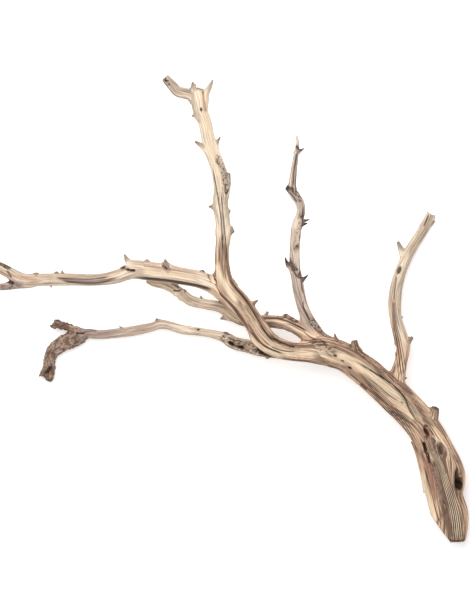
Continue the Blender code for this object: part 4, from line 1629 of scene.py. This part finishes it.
@dataclass
class Trunk(Limb):
    """The thick sawn end with its knot holes, up to the fork where four limbs part."""

    name: str = "trunk"
    slot: str = "warm_wood"
    finish: WoodFinish = WARM_WOOD
    main: Tube = TRUNK_TUBE
    shoots: tuple[Tube, ...] = (
        Tube(
            stations=(
                (294, -212, 28, 3), (300.5, -227, 30, 3.6), (307.5, -253, 31, 3.8), (312, -276, 31, 3.6),
                (314.5, -294.5, 30, 3),
            ),
            columns=40, pitch=1, tip=Tip.SNAPPED, reach=3, strands=(Strands(5, 0.8, 0.3, 50, 33),), seed=20,
        ),
    )
    spurs: tuple[SpurSizes, ...] = (
        ((171, -56, 66), (169, -40, 70), 5.5, 0.2), ((203, -68, 62), (200, -50, 66), 9, 0.5),
        ((318, -177, 44), (330.5, -158.8, 46), 13, 0.5), ((272, -118, 40), (284.5, -110, 42), 4, 0.2),
    )
    knots: tuple[Knot, ...] = (
        Knot((441, 449.5), 1, 7.8, 2, 2.2, 0.6, GREY),
        Knot((458, 481), 0.7, 8, 1.9, 13, 1.2),
        Knot((457, 484.5), 1, 4.6, 1.9, 7, 0, swirl=0),
        Knot((460, 476.5), 1, 1.5, 1.2, -5, 0, PALE, 0),
        Knot((426, 431.5), 1, 4.4, 2.1, 6, 0.6, RED),
        Knot((425, 447), 1, 2.2, 3.4, 7, 0.4),
        Knot((334.5, 355.5), 1, 2, 1.7, 5, 0.3, swirl=0.4),
        Knot((342, 360.5), 1, 1.7, 1.7, 5, 0.3, swirl=0.4),
        Knot((349.5, 367), 1, 1.9, 2, 5, 0.3, swirl=0.4),
        Knot((401.5, 402), 0.9, 1.4, 1.6, 2.5, 0.2),
        Knot((409, 389.5), 1, 2.6, 2.2, 5, 0),
    )
    streaks: tuple[Line, ...] = (
        Streak(
            ((298, 351), (325, 352), (344, 358), (363, 367.5), (382, 385), (401, 401), (416, 420)), 0.7, 8.8, -0.8,
            PALE, 3, 0.03
        ),
        Streak(((350, 358), (375, 373), (392, 384), (404, 396.5), (409, 409), (419, 425)), 0.9, 1.1, 1.8),
        Streak(((366, 377), (376, 384), (388, 394.5), (399, 402)), 0.6, 0.7, 0.6),
        Ribs(
            ((316, 360.5), (340, 367), (354, 374), (372, 390), (391, 409), (405, 427), (414, 444)), 0.25, 0.75, 3, 8.8,
            5, stain=GREY
        ),
        Streak(((300, 363.5), (325, 367), (345, 376), (361, 386)), 0.6, 1.2, -0.8, PALE),
        Streak(((360, 383), (367, 390)), 0.8, 2.2, 1.2),
        Ribs(((328, 341), (350, 350), (372, 362), (392, 379), (408, 397), (420, 417)), 0.2, 0.6, 6.4, 9.4, 7, 0.9, RED),
        Streak(((296, 337), (306, 341), (320, 345), (334, 351)), 0.4, 9, stain=GREY, sharp=4),
        Mottle(((303, 341), (317, 344), (334, 351)), 0.4, 0.4, 8, 3.4),
        Streak(((303, 339), (309, 337.5), (315, 340)), 0.9, 0.9, 1.4),
        Streak(((319, 339), (324, 343), (327, 348)), 0.8, 0.9, 1.4),
        Streak(((280, 347.5), (292, 350.5), (304, 349.5), (322, 348)), 0.7, 0.8, 1),
        Mottle(((340, 340), (366, 354), (392, 374)), 0.15, 0.4, 6, stain=RED),
        Streak(((393, 352), (397, 368), (404, 384), (412, 402)), 0.4, 7.2, stain=GREY, sharp=4),
        Streak(((395, 362), (401, 378), (410, 395)), 0.5, 5.6, stain=RED, sharp=3),
        Mottle(((425.5, 427), (426.5, 436)), 0.9, 1, 3.4, 1.6, 0.8, RED),
        Streak(((403, 393), (414, 407), (423, 422)), 0.7, 2.2, -1.2, PALE),
        Streak(((404, 393), (415, 407), (424, 422)), 0.35, 2.2, stain=RED),
        Streak(((426, 445), (428, 466), (431.5, 482), (436, 502)), 0.95, 3.4, 1, RED),
        Streak(((423.8, 442), (424.6, 447), (425.2, 453)), 1, 1.9, 3, taper=0.05),
        Streak(((427, 452), (428, 456), (429, 461)), 0.8, 1.6, 1.4),
        Mottle(((428, 437), (433, 443), (438, 450)), 0.5, 0.3, 4.6, 1.8, 0.4),
        Streak(((448, 539.5), (457, 541), (466, 540)), 0.7, 1.2, 0.6),
        Streak(((426.5, 452), (428, 458), (429.5, 464)), 0.8, 1.6, 1.2),
        Streak(((431, 458), (436, 472), (441, 491), (444.5, 507), (449, 528), (452, 540)), 1, 5.8, 1.6, GREY, 4, 0.08),
        Mottle(((434, 468), (441, 491), (445, 508), (450, 528)), 0.6, 0.2, 5, 1.8, 0.3),
        Streak(((421, 466), (426.5, 491), (431, 508), (437, 524)), 0.75, 3.6, stain=PALE, sharp=4),
        Streak(((423, 462), (429.5, 485), (436, 512), (442, 527)), 0.65, 0.8, 1),
        Ribs(
            ((427, 446.5), (435.5, 455), (441, 467), (447, 486), (452, 502), (455.5, 518), (458, 541)), 0.85, 0.95,
            3.6, 8.6, 5, 1.5, PALE
        ),
        Streak(((439, 446), (440.3, 450), (442, 455)), 0.9, 0.9, 2),
        Streak(
            ((431, 433), (435, 438.5), (442, 442), (446.5, 447.5), (448.5, 455), (449.5, 464)), 0.9, 1.1, -1.4, PALE
        ),
    )


@dataclass
class MainLimb(Limb):
    """The strongly ridged front limb from the trunk up to the upper fork."""

    name: str = "main_limb"
    slot: str = "warm_wood"
    finish: WoodFinish = WARM_WOOD
    main: Tube = FRONT_TUBE
    shoots: tuple[Tube, ...] = (
        Tube(
            stations=((36, -34, 80, 6), (43, -49, 77, 6.8), (62, -64, 72, 7.2), (84, -73, 68, 6.4)),
            columns=56, pitch=1.2, reach=5, strands=THIN_CORDS, seed=19,
        ),
    )
    spurs: tuple[SpurSizes, ...] = (
        ((34, 3, 92), (45.5, 13.5, 94), 5.6, 0.2), ((0, 36, 94), (9.5, 42, 94), 7, 0.6),
    )


@dataclass
class TallLimb(Limb):
    """The upright pale limb with the horn and the crooked arm at its top."""

    name: str = "tall_limb"
    slot: str = "pale_wood"
    finish: WoodFinish = PALE_WOOD
    main: Tube = FRONT_TUBE
    shoots: tuple[Tube, ...] = (
        Tube(
            stations=(
                (-44, 334, 89, 8), (-66, 343, 86, 8.8), (-81, 347, 82, 8.4), (-90, 356, 78, 8), (-102, 369, 75, 6.6),
            ),
            columns=72, pitch=1, tip=Tip.HOLLOWED, reach=6, strands=THIN_CORDS, seed=21, weathered=0.2, dirty=0.15,
        ),
        Tube(
            stations=((-42, 326, 91, 7.8), (-37, 343, 93, 5.8), (-30, 356, 95, 3.6), (-26, 365, 96, 1.2)),
            columns=48, pitch=1, tip=Tip.POINTED, reach=6, strands=THIN_CORDS[:1], seed=23, weathered=0.5,
        ),
    )
    spurs: tuple[SpurSizes, ...] = (
        ((-38, 256, 103), (-54, 267, 106), 5.2, 0.35), ((-24, 256, 102), (-14, 274, 104), 6, 0.15),
        ((-48, 307, 95), (-58, 308, 96), 5, 0.3), ((-50, 331, 90), (-62, 330, 90), 4.6, 0.6),
        ((-18, 162, 104), (-31, 163, 106), 6, 0.3), ((-10, 154, 103), (2, 157, 104), 4.8, 0.4),
        ((-6, 124, 101), (7, 127, 102), 9, 0.55), ((-6, 190, 104), (-2, 216, 104), 6, 0.7),
        ((-50, 342, 89), (-58, 361.5, 90), 9.2, 0.15), ((-50, 342, 89), (-47, 351.5, 89), 8, 0.6),
    )


@dataclass
class FrontLimb:
    """The main limb and the tall limb, which share one skin and are parted at the upper fork.

    Attributes:
        main_limb: The lower one.
        tall_limb: The upper one.
        parting: Length along their pith at which they part.
        knots: The knots, holes and lumps on both.
        streaks: The furrows, lips and stains on both, with a painted highlight on the tall limb.
    """

    main_limb: MainLimb = field(default_factory=MainLimb)
    tall_limb: TallLimb = field(default_factory=TallLimb)
    parting: float = 252.5
    knots: tuple[Knot, ...] = (
        Knot((215.6, 281.5), 0.7, 2.4, 1.6, 2.2, 0.6),
        Knot((226.5, 189.6), 1, 4, 1.8, 5, 1),
        Knot((201.5, 110), 0.7, 2.2, 1.6, 2, 0.6),
    )
    streaks: tuple[Line, ...] = (
        Streak(((212, 164), (216.5, 190), (220.5, 215), (224, 262)), 0.65, 0.9, 1.6),
        Streak(((221, 190), (224, 225), (228, 264)), 0.5, 0.8, 1.4),
        Mottle(((217, 158), (224, 172), (228, 190)), 0.35, 0.5, 4.6, 1.7, 0.5),
        Streak(((203, 90), (204, 101), (206, 114)), 1, 1.8, 0.8, RED),
        Mottle(((166, 84), (162, 78), (158, 70)), 0.4, 0.9, 6, 1.8),
        Streak(((264, 345), (280, 352.5), (298, 353), (322, 354)), 0.7, 6.4, stain=PALE, sharp=3),
        # Painted highlight on the upper part of the tall limb, laid on as a pale stain.
        Streak(((201, 84), (204, 100), (209, 130), (216, 160), (218, 180)), 0.65, 10, stain=PALE, sharp=4, taper=0.08),
        Streak(((266, 333), (276, 340), (290, 346.5), (302, 348)), 0.75, 5, stain=GREY, sharp=4),
        Mottle(((270, 337), (282, 343.5), (298, 348)), 0.5, 0.5, 3, 2.2, 0.4),
        Streak(((272, 337.5), (280, 341.3), (287, 344.3), (295, 347)), 1, 1.3, 3, taper=0.08),
        Streak(((270, 346), (282, 350.5), (296, 351.5)), 0.7, 0.8, 1),
        Streak(((212.5, 262), (213.5, 272), (212.5, 281), (213.5, 292)), 1, 1.4, 1.2, RED),
        Streak(((214.5, 266), (215.2, 274), (214.2, 283)), 0.7, 0.7, 1),
        Streak(((205, 284), (214, 288), (222, 296), (235, 309), (245, 323), (248.5, 332)), 0.45, 2.4, 1),
        Streak(((249.5, 330), (258, 341), (268, 348), (286, 355)), 0.85, 1.1, 2),
        Streak(((249, 334.5), (258, 345.5), (270, 352), (285, 358)), 1, 3.6, stain=PALE, sharp=3),
        Streak(((229, 279), (243, 296), (254, 313), (264, 330), (275, 343)), 0.7, 1.1, 2.2),
        Streak(((233, 282), (247, 299), (257, 317), (267, 333)), 0.2, 4.2, stain=GREY, sharp=3),
        Streak(((236, 304), (246, 319), (256, 334), (272, 346)), 0.2, 4.8, stain=RED),
        Streak(((239, 300), (250, 317), (262, 336), (280, 349)), 0.6, 2.2, -0.4, PALE),
        Streak(((232, 300), (241, 312), (249, 326)), 0.7, 1.6, -0.4, PALE),
        Streak(((216, 262), (219, 274), (228, 290), (240, 306)), 1, 5.6, stain=PALE),
        Streak(((252, 318), (262, 332), (275, 344), (300, 349)), 0.8, 1.6, -0.4, PALE),
    )

    def build(self, woods: Woods, neighbours: list[Tube]) -> list[bpy.types.Object]:
        """Build both limbs from the skin that they share.

        Args:
            woods: Every finish's material, by name.
            neighbours: Main tubes of the limbs that they meet.

        Returns:
            The two pieces.
        """
        pieces = []
        for limb, part in ((self.main_limb, (0.0, self.parting)), (self.tall_limb, (self.parting, math.inf))):
            limb.knots, limb.streaks, limb.part = self.knots, self.streaks, part
            pieces += limb.build(woods, neighbours)
        return pieces


@dataclass
class LeftLimb(Limb):
    """The long level limb that runs off to the left, with its stub and its end twig."""

    name: str = "left_limb"
    slot: str = "pale_wood"
    finish: WoodFinish = PALE_WOOD
    main: Tube = LEFT_TUBE
    shoots: tuple[Tube, ...] = (
        Tube(
            stations=((-118, 60, 84, 10), (-140, 66, 86, 11), (-164, 71, 84, 8.2)),
            columns=72, pitch=1, tip=Tip.SNAPPED, reach=4, strands=THIN_CORDS, seed=25,
        ),
        Tube(
            stations=((-318, 43, 60, 7), (-340, 39.6, 54, 7.2), (-362, 35.6, 48, 5.6), (-381, 35, 43, 3.8)),
            columns=48, pitch=1, tip=Tip.SNAPPED, reach=10, strands=THIN_CORDS[:1], seed=27, weathered=0.4,
        ),
    )
    spurs: tuple[SpurSizes, ...] = (
        ((-156, 69, 84), (-166.5, 86.5, 86), 7.2, 0.2), ((-160, 64, 85), (-169, 66.5, 87), 5.4, 0.6),
        ((-131, 68, 88), (-130.5, 78, 89), 7, 0.3), ((-100, 63, 94), (-101.5, 78, 96), 9.4, 0.2),
        ((-44, 52, 98), (-41.5, 61, 99), 6.6, 0.35), ((-308, 50, 64), (-308.5, 57.8, 65), 5.4, 0.5),
        ((-276, 50, 67), (-276, 59.2, 68), 5.2, 0.5), ((-266, 50, 68), (-266.5, 60.5, 69), 5, 0.3),
        ((-285, 41, 62), (-284, 35, 61), 3.4, 0.3),
    )
    knots: tuple[Knot, ...] = (
        Knot((166, 266.5), 1, 4, 1.3, 6, 0.8),
        Knot((124.5, 266), 0.7, 2, 1.5, -1, 0.4),
    )
    streaks: tuple[Line, ...] = (
        Streak(((126, 262), (150, 265), (180, 270), (210, 279)), 0.3, 11, stain=RED, sharp=3),
        Streak(((126, 269), (130, 270.5), (136, 271)), 1, 1.8, 5),
        Streak(((211.5, 266), (209.5, 271), (209.7, 278), (212, 284)), 1, 1.3, 1.2, RED),
        Streak(((210.2, 268), (208.4, 272), (208.6, 279)), 0.7, 0.7, 0.8),
        # Painted shade: a dark band along the limb's lower edge, on the side away from the light.
        Streak(((214, 290.5), (200, 286.5), (180, 282.8), (160, 280), (132, 277.5)), 0.72, 2.5, 1, sharp=4),
        Streak(((56, 278.5), (78, 282), (98, 282.5), (122, 277.5)), 1, 3, 0.8, GREY, 8),
        Streak(((60, 280), (78, 283), (98, 283), (114, 279.5)), 0.4, 1.6, 0.6, sharp=3),
        Streak(((55, 277.5), (70, 279), (90, 279.5), (112, 276.5)), 0.7, 0.8, 0.8),
        Mottle(((164, 262), (166, 266), (168, 270)), 0.45, 0.25, 4.6, 2, 0.4),
        Streak(((164.8, 266.5), (167, 268.5)), 1, 1.6, 3, taper=0),
        Streak(((121, 265), (124.5, 268)), 0.8, 2.2, 1, taper=0),
        Mottle(((-6, 260), (3, 264), (9, 267)), 0.5, 1, 4.2, 2, 0.7, DARK),
        Streak(((5, 279), (9, 281.5), (15, 284)), 0.9, 3, 1, sharp=3),
        Streak(((-6, 270), (10, 275), (26, 279), (42, 281)), 0.7, 3.4, stain=RED),
        Streak(((7, 270), (9.5, 274), (12, 278)), 0.6, 1.2, 1),
        Streak(((-6, 287), (6, 286.5), (16, 285), (26, 285)), 0.7, 6, stain=GREY, sharp=4),
        Mottle(((-6, 288), (6, 287), (18, 285.5)), 0.4, 0.4, 4.4, 1.8, 0.5),
        Streak(((135, 263), (160, 265.5), (185, 270), (205, 273)), 0.3, 3, stain=RED),
        Streak(((16, 270), (45, 276), (75, 274), (100, 273), (126, 269)), 0.45, 3.6, stain=RED),
        Streak(((140, 271), (165, 274), (200, 278)), 0.8, 6, stain=PALE, sharp=4),
    )


@dataclass
class BackLimb(Limb):
    """The limb behind the main limb that closes the lens-shaped gap."""

    name: str = "back_limb"
    slot: str = "warm_wood"
    finish: WoodFinish = PALE_WOOD
    main: Tube = BACK_TUBE
    spurs: tuple[SpurSizes, ...] = (
        ((57, -15, 45), (62.5, -4.5, 47), 3.4, 0.6), ((96, -20, 48), (90.5, -8.5, 50), 8, 0.35),
        ((-74, 22, 43), (-69.5, 30.5, 45), 4, 0.4), ((-45, 11, 38), (-45, 20.5, 39), 3.6, 0.3),
        ((-83, 28, 44), (-86, 41, 46), 6, 0.5), ((4, -11, 35), (-13, -15.5, 35), 7.4, 0.2),
    )
    knots: tuple[Knot, ...] = (
        Knot((237, 316), 0.9, 2.4, 1.6, 4, 0.6),
    )
    streaks: tuple[Line, ...] = (
        Mottle(((172, 282), (180, 287), (188, 290)), 0.6, 0.4, 3.4),
        Streak(((174, 290.5), (177, 291), (180, 290.5)), 0.95, 1.1, 1, taper=0),
        Streak(((173.5, 284), (176, 286), (179, 288)), 0.6, 1.4, 0.6),
        Streak(((138, 276), (158, 283), (170, 292), (188, 301)), 0.45, 4, stain=PALE),
        Mottle(((278, 315.5), (288, 317), (296, 321)), 0.6, 0.6, 3.4),
        Streak(((200, 291), (222, 303), (238, 314)), 0.7, 1.4, 1.2),
        Streak(((262, 319), (280, 319), (296, 325), (308, 332)), 0.8, 1.3, 1.6),
        Streak(((262, 320.5), (276, 320.5), (291, 327), (310, 337)), 0.9, 2.6, -0.6, PALE, 3),
        Streak(((262, 316), (278, 315.5), (293, 319), (306, 328)), 0.5, 3.4, stain=RED),
        Streak(((264, 327), (277, 325.5), (289, 330), (299, 339)), 0.45, 4.6, stain=GREY, sharp=4),
        Ribs(((268, 326), (280, 326), (291, 331.5), (299.5, 341)), 0.5, 0.5, 3.6, 4.4, 3),
    )


@dataclass
class LowLimb(Limb):
    """The thin low limb that passes under the main limb."""

    name: str = "low_limb"
    slot: str = "pale_wood"
    finish: WoodFinish = PALE_WOOD
    main: Tube = LOW_TUBE
    spurs: tuple[SpurSizes, ...] = (
        ((58, -69, 36), (62, -79.5, 36), 4.4, 0.4), ((-111, -23, 19), (-117, -16.5, 21), 4.4, 0.5),
        ((-165, -34, 17), (-176, -28, 19), 2.6, 0.4), ((-2, -48, 29), (-5, -39, 31), 5.8, 0.6),
    )
    knots: tuple[Knot, ...] = (
        Knot((231.5, 343.5), 1, 3.4, 1.6, 5.5, 1.2),
        Knot((241, 347), 1, 3.2, 1.8, 5.5, 1),
        Knot((198, 329.6), 0.9, 1.8, 1.4, 1.6, 0.4),
        Knot((225.5, 336.5), 0.8, 3.4, 1.1, 1, 1.2, RED),
    )
    streaks: tuple[Line, ...] = (
        Mottle(((226, 338), (238, 345), (258, 352)), 0.35, 0.5, 8.8, 2.4, 0.8),
        Streak(((226, 335.5), (234, 340), (240, 341), (250, 345)), 0.8, 0.9, 1.4),
        Streak(((229, 346), (238, 351), (248, 353.5), (260, 357)), 0.7, 0.8, 1.2),
        Streak(((236, 349), (242, 350.5), (249, 349.5), (254, 352)), 0.9, 1.1, -1.2, PALE),
        Streak(((224, 341), (232, 347), (243, 351)), 0.9, 1.2, -1.2, PALE),
        Streak(((244, 349), (254, 352), (264, 356)), 0.7, 1, -0.8, PALE),
        Streak(((238, 342), (243, 342), (248, 345)), 0.9, 1.4, -1, PALE),
        Streak(((229, 341), (236, 346), (246, 349)), 0.8, 1, 1.2),
        # Painted shadow where the limb passes under the main limb, laid over a real groove.
        Streak(((256, 348.5), (264, 351), (276, 356)), 1, 3.4, 2.4),
        Streak(((258, 351), (268, 355), (281, 358.5)), 1, 3.6, 2, sharp=4),
        Streak(((40, 336), (92, 333), (130, 336)), 0.75, 11, stain=GREY, sharp=4, taper=0.3),
    )


@dataclass
class BarkedTip(Limb):
    """The end of the low limb that still carries bark."""

    name: str = "barked_tip"
    slot: str = "bark"
    finish: WoodFinish = BARK
    main: Tube = BARKED_TUBE
    shoots: tuple[Tube, ...] = (
        Tube(
            stations=((-240, -38, 14, 7), (-259, -29, 15, 6.4), (-272, -25, 16, 6.2), (-281, -22, 17, 5.6)),
            columns=72, pitch=0.9, tip=Tip.SNAPPED, reach=6, seed=29, lumps=0.10, weathered=0.6, dirty=0.1,
            strands=THIN_CORDS, crusts=BARK_CRUSTS, bark_from=-4,
        ),
    )
    spurs: tuple[SpurSizes, ...] = (
        ((-274, -24, 16), (-284, -28, 17), 4.6, 0.3), ((-274, -25, 17), (-274.5, -16.5, 18), 4.8, 0.4),
        ((-291, -100, 10), (-303, -105, 10), 6, 0.3), ((-290, -104, 10), (-290, -115, 9), 7.6, 0.5),
        ((-242, -45, 13), (-237, -54, 13), 9, 0.5),
    )
    streaks: tuple[Line, ...] = (
        Streak(((75, 333), (85, 333.5), (94, 332)), 0.9, 1, 2),
        Streak(((72, 336), (82, 338), (90, 336)), 0.6, 5, stain=GREY),
        Streak(((50, 368), (45, 375), (42, 378)), 1, 3.4, 3, taper=0),
        Streak(((52, 367), (51, 374), (49, 380)), 0.6, 2.4, stain=RED),
        Streak(((39, 372), (40, 378), (46, 382)), 0.7, 2.4, stain=RED),
    )


@dataclass
class MiddleLimb(Limb):
    """The grey thorny limb in the middle."""

    name: str = "middle_limb"
    slot: str = "grey_wood"
    finish: WoodFinish = GREY_WOOD
    main: Tube = MIDDLE_TUBE
    spurs: tuple[SpurSizes, ...] = (
        ((108, 249, 80), (120, 256.5, 81), 4, 0.15), ((101, 189, 77), (91.5, 194, 78), 5.8, 0.6),
        ((114, 139, 74), (128, 143, 76), 4.6, 0.15), ((111, 131, 74), (124.5, 137, 73), 4.6, 0.2),
        ((101, 66, 70), (90, 82, 73), 5.6, 0.12), ((114, 46, 67), (126, 54.5, 69), 4.4, 0.15),
    )
    knots: tuple[Knot, ...] = (
        Knot((297, 246.4), 0.85, 4.6, 1.1, -2.4, 0, GREY),
        Knot((297, 246.4), 0.45, 2.4, 1.1, 1.4, 1, swirl=0),
        Knot((297.2, 246.6), 0.9, 1, 1.2, 1, 0, swirl=0),
    )
    streaks: tuple[Line, ...] = (
        Streak(((291, 268), (298, 278)), 0.7, 1.2, 1),
        Streak(((303, 262), (298, 278)), 0.6, 1.2, 1),
        Streak(((303.5, 301), (303, 306), (306, 313), (311, 323)), 0.9, 0.8, 1.4),
        Mottle(((312, 321), (324, 332)), 0.6, 0.7, 5.6),
        Mottle(((288, 260), (295, 270), (301, 276)), 0.6, 0.7, 5),
        Mottle(((301, 214), (299, 232), (296, 250)), 0.2, 0.25, 4),
        Mottle(((289, 188), (296, 194), (301, 200)), 0.6, 0.6, 3.4),
        Streak(((298, 150), (296, 160), (293.5, 174), (293, 188)), 0.75, 0.9, 1.4),
        Streak(((298.5, 158), (296.8, 172), (295.5, 184), (296, 198)), 0.65, 0.8, 1.2),
        Streak(((289, 192), (293, 197), (297, 203)), 0.8, 0.9, 1.2),
        Streak(((292.5, 188), (292.8, 192)), 0.9, 1.5, 2, taper=0),
        Streak(((294.5, 146), (297, 147.5), (299, 150)), 0.7, 1.8, taper=0),
        Streak(((296, 132), (296.8, 143)), 1, 4, stain=PALE, taper=0),
        Streak(((303, 206), (302.5, 224), (299, 242)), 0.8, 1, 1.2),
        Streak(((287, 256), (290, 262), (294, 269)), 0.55, 3.4, taper=0),
        Streak(((301, 217), (309, 213)), 0.65, 2.6, taper=0),
        Streak(((303, 281), (306, 275), (309, 270)), 0.6, 3.2, taper=0),
        Streak(((285, 186), (289, 189)), 0.75, 2.4, taper=0),
        Streak(((298, 216), (298.5, 232), (297, 262)), 0.6, 4.4, stain=PALE, sharp=3),
        Streak(((300, 256), (300.5, 275), (303, 295)), 0.7, 0.9, 1.2),
    )
    tips: tuple[float, float] = (1.0, 0.75)


@dataclass
class RightLimb(Limb):
    """The limb that rises from the thick part of the trunk on the right."""

    name: str = "right_limb"
    slot: str = "pale_wood"
    finish: WoodFinish = PALE_WOOD
    main: Tube = RIGHT_TUBE
    spurs: tuple[SpurSizes, ...] = (
        ((280, 88, 13), (271, 108, 14), 6, 0.4), ((279, -58, 37), (292.5, -46.5, 39), 9.8, 0.3),
        ((268, -15, 31), (278.5, -13, 33), 2.6, 0.3), ((317, 136, 7), (328, 142, 7), 4.8, 0.7),
    )
    knots: tuple[Knot, ...] = (
        Knot((399.3, 269.8), 0.65, 4.2, 1.7, 2.6, 1),
    )
    streaks: tuple[Line, ...] = (
        Streak(((397, 275), (395, 288), (394, 302)), 0.5, 1, 1.6),
        Streak(((391, 292), (393.5, 315), (396, 338), (401, 362)), 0.8, 2, 0.4, RED),
        Ribs(((394, 300), (395, 325), (398.5, 345), (403, 377)), 0.5, 0.8, 1.8, 7, 3),
        Streak(((404, 340), (407, 352), (406, 372)), 0.35, 3, stain=RED),
        Streak(((429, 214), (427, 220), (424, 227)), 0.6, 1, 2.6),
    )


@dataclass
class Studio:
    """The floor, the light and the camera.

    Attributes:
        floor_side: Side of the floor, in metres.
        floor_drop: How far the floor lies under the branch, in metres.
        floor_grey: How light the floor is, 0 to 1.
        floor_rough: How dull it is, 0 to 1.
        floor_glow: Strength of its own light, which keeps it pale.
        lens: The camera's focal length, in millimetres.
        sensor: Width of the camera's sensor, in millimetres.
        far: How far the camera sees, in metres.
        sky: Strength of the sky.
        lamp_place: Where the lamp hangs, in metres.
        lamp_aim: The point that it faces, in metres.
        lamp_side: Its side, in metres.
        lamp_power: Its power, in watts.
    """

    floor_side: float = 60.0
    floor_drop: float = 0.0002
    floor_grey: float = 0.93
    floor_rough: float = 0.9
    floor_glow: float = 0.30
    lens: float = 500.0
    sensor: float = 36.0
    far: float = 200.0
    sky: float = 0.62
    lamp_place: Point = (-0.4, 0.8, 2.4)
    lamp_aim: Point = (0.0, 0.0, 0.05)
    lamp_side: float = 2.2
    lamp_power: float = 52.0

    def floor(self) -> None:
        """Lay the plain pale floor."""
        half = self.floor_side / 2.0
        mesh = bpy.data.meshes.new("floor")
        corners = [(x, y, -self.floor_drop) for x, y in ((-half, -half), (half, -half), (half, half), (-half, half))]
        mesh.from_pydata(corners, [], [(0, 1, 2, 3)])
        material = bpy.data.materials.new("pale_floor")
        material.use_nodes = True
        Graph(material.node_tree).feed(material.node_tree.nodes["Principled BSDF"], {
            "Base Color": (self.floor_grey, self.floor_grey, self.floor_grey, 1.0), "Roughness": self.floor_rough,
            "Emission Color": (1.0, 1.0, 1.0, 1.0), "Emission Strength": self.floor_glow,
        })
        mesh.materials.append(material)
        item = bpy.data.objects.new("floor", mesh)
        bpy.context.scene.collection.objects.link(item)

    def lamp(self) -> None:
        """Hang a soft square lamp that faces the branch."""
        light = bpy.data.lights.new("key_lamp", "AREA")
        light.size = self.lamp_side
        light.energy = self.lamp_power
        item = bpy.data.objects.new("key_lamp", light)
        item.location = self.lamp_place
        item.rotation_mode = "QUATERNION"
        item.rotation_quaternion = (Vector(self.lamp_aim) - Vector(self.lamp_place)).to_track_quat("-Z", "Y")
        item.visible_camera = False
        bpy.context.scene.collection.objects.link(item)

    def light(self) -> None:
        """Set the bright even sky."""
        world = bpy.data.worlds.new("sky")
        world.use_nodes = True
        world.node_tree.nodes["Background"].inputs["Color"].default_value = (1.0, 1.0, 1.0, 1.0)
        world.node_tree.nodes["Background"].inputs["Strength"].default_value = self.sky
        bpy.context.scene.world = world
        bpy.context.scene.view_settings.view_transform = "Standard"

    def camera(self) -> None:
        """Hang the camera over the middle of the picture, looking straight down."""
        height = max(PICTURE) * PLAN_PITCH * self.lens / self.sensor
        x, y = plan((PICTURE[0] / 2.0, PICTURE[1] / 2.0))
        data = bpy.data.cameras.new("camera")
        data.lens = self.lens
        data.sensor_width = self.sensor
        data.clip_end = self.far
        item = bpy.data.objects.new("camera", data)
        item.location = (x, y, PICTURE_HEIGHT + height)
        bpy.context.scene.collection.objects.link(item)
        bpy.context.scene.camera = item

    def build(self) -> None:
        """Build the floor, the light and the camera."""
        self.floor()
        self.light()
        self.lamp()
        self.camera()


def main() -> None:
    """Build every limb and the studio, and report each piece."""
    logging.basicConfig(level=logging.INFO, format="%(message)s")
    make_grain_lines()
    make_weathering()
    make_bark_plates()
    woods = {finish.name: finish.make() for finish in (PALE_WOOD, WARM_WOOD, GREY_WOOD, BARK)}
    limbs = (
        (Trunk(), [FRONT_TUBE, BACK_TUBE, LOW_TUBE, MIDDLE_TUBE, RIGHT_TUBE]),
        (FrontLimb(), [TRUNK_TUBE, LEFT_TUBE, BACK_TUBE, LOW_TUBE, MIDDLE_TUBE]),
        (LeftLimb(), [FRONT_TUBE]),
        (BackLimb(), [TRUNK_TUBE, LOW_TUBE, MIDDLE_TUBE, FRONT_TUBE]),
        (LowLimb(), [TRUNK_TUBE, BACK_TUBE, FRONT_TUBE]),
        (BarkedTip(), []),
        (MiddleLimb(), [TRUNK_TUBE, BACK_TUBE, LOW_TUBE]),
        (RightLimb(), [TRUNK_TUBE]),
    )
    for limb, neighbours in limbs:
        for piece in limb.build(woods, neighbours):
            LOG.info("%s: %d triangles", piece.name, len(piece.data.loops) - 2 * len(piece.data.polygons))
    Studio().build()
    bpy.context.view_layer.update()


if __name__ == "__main__":
    main()
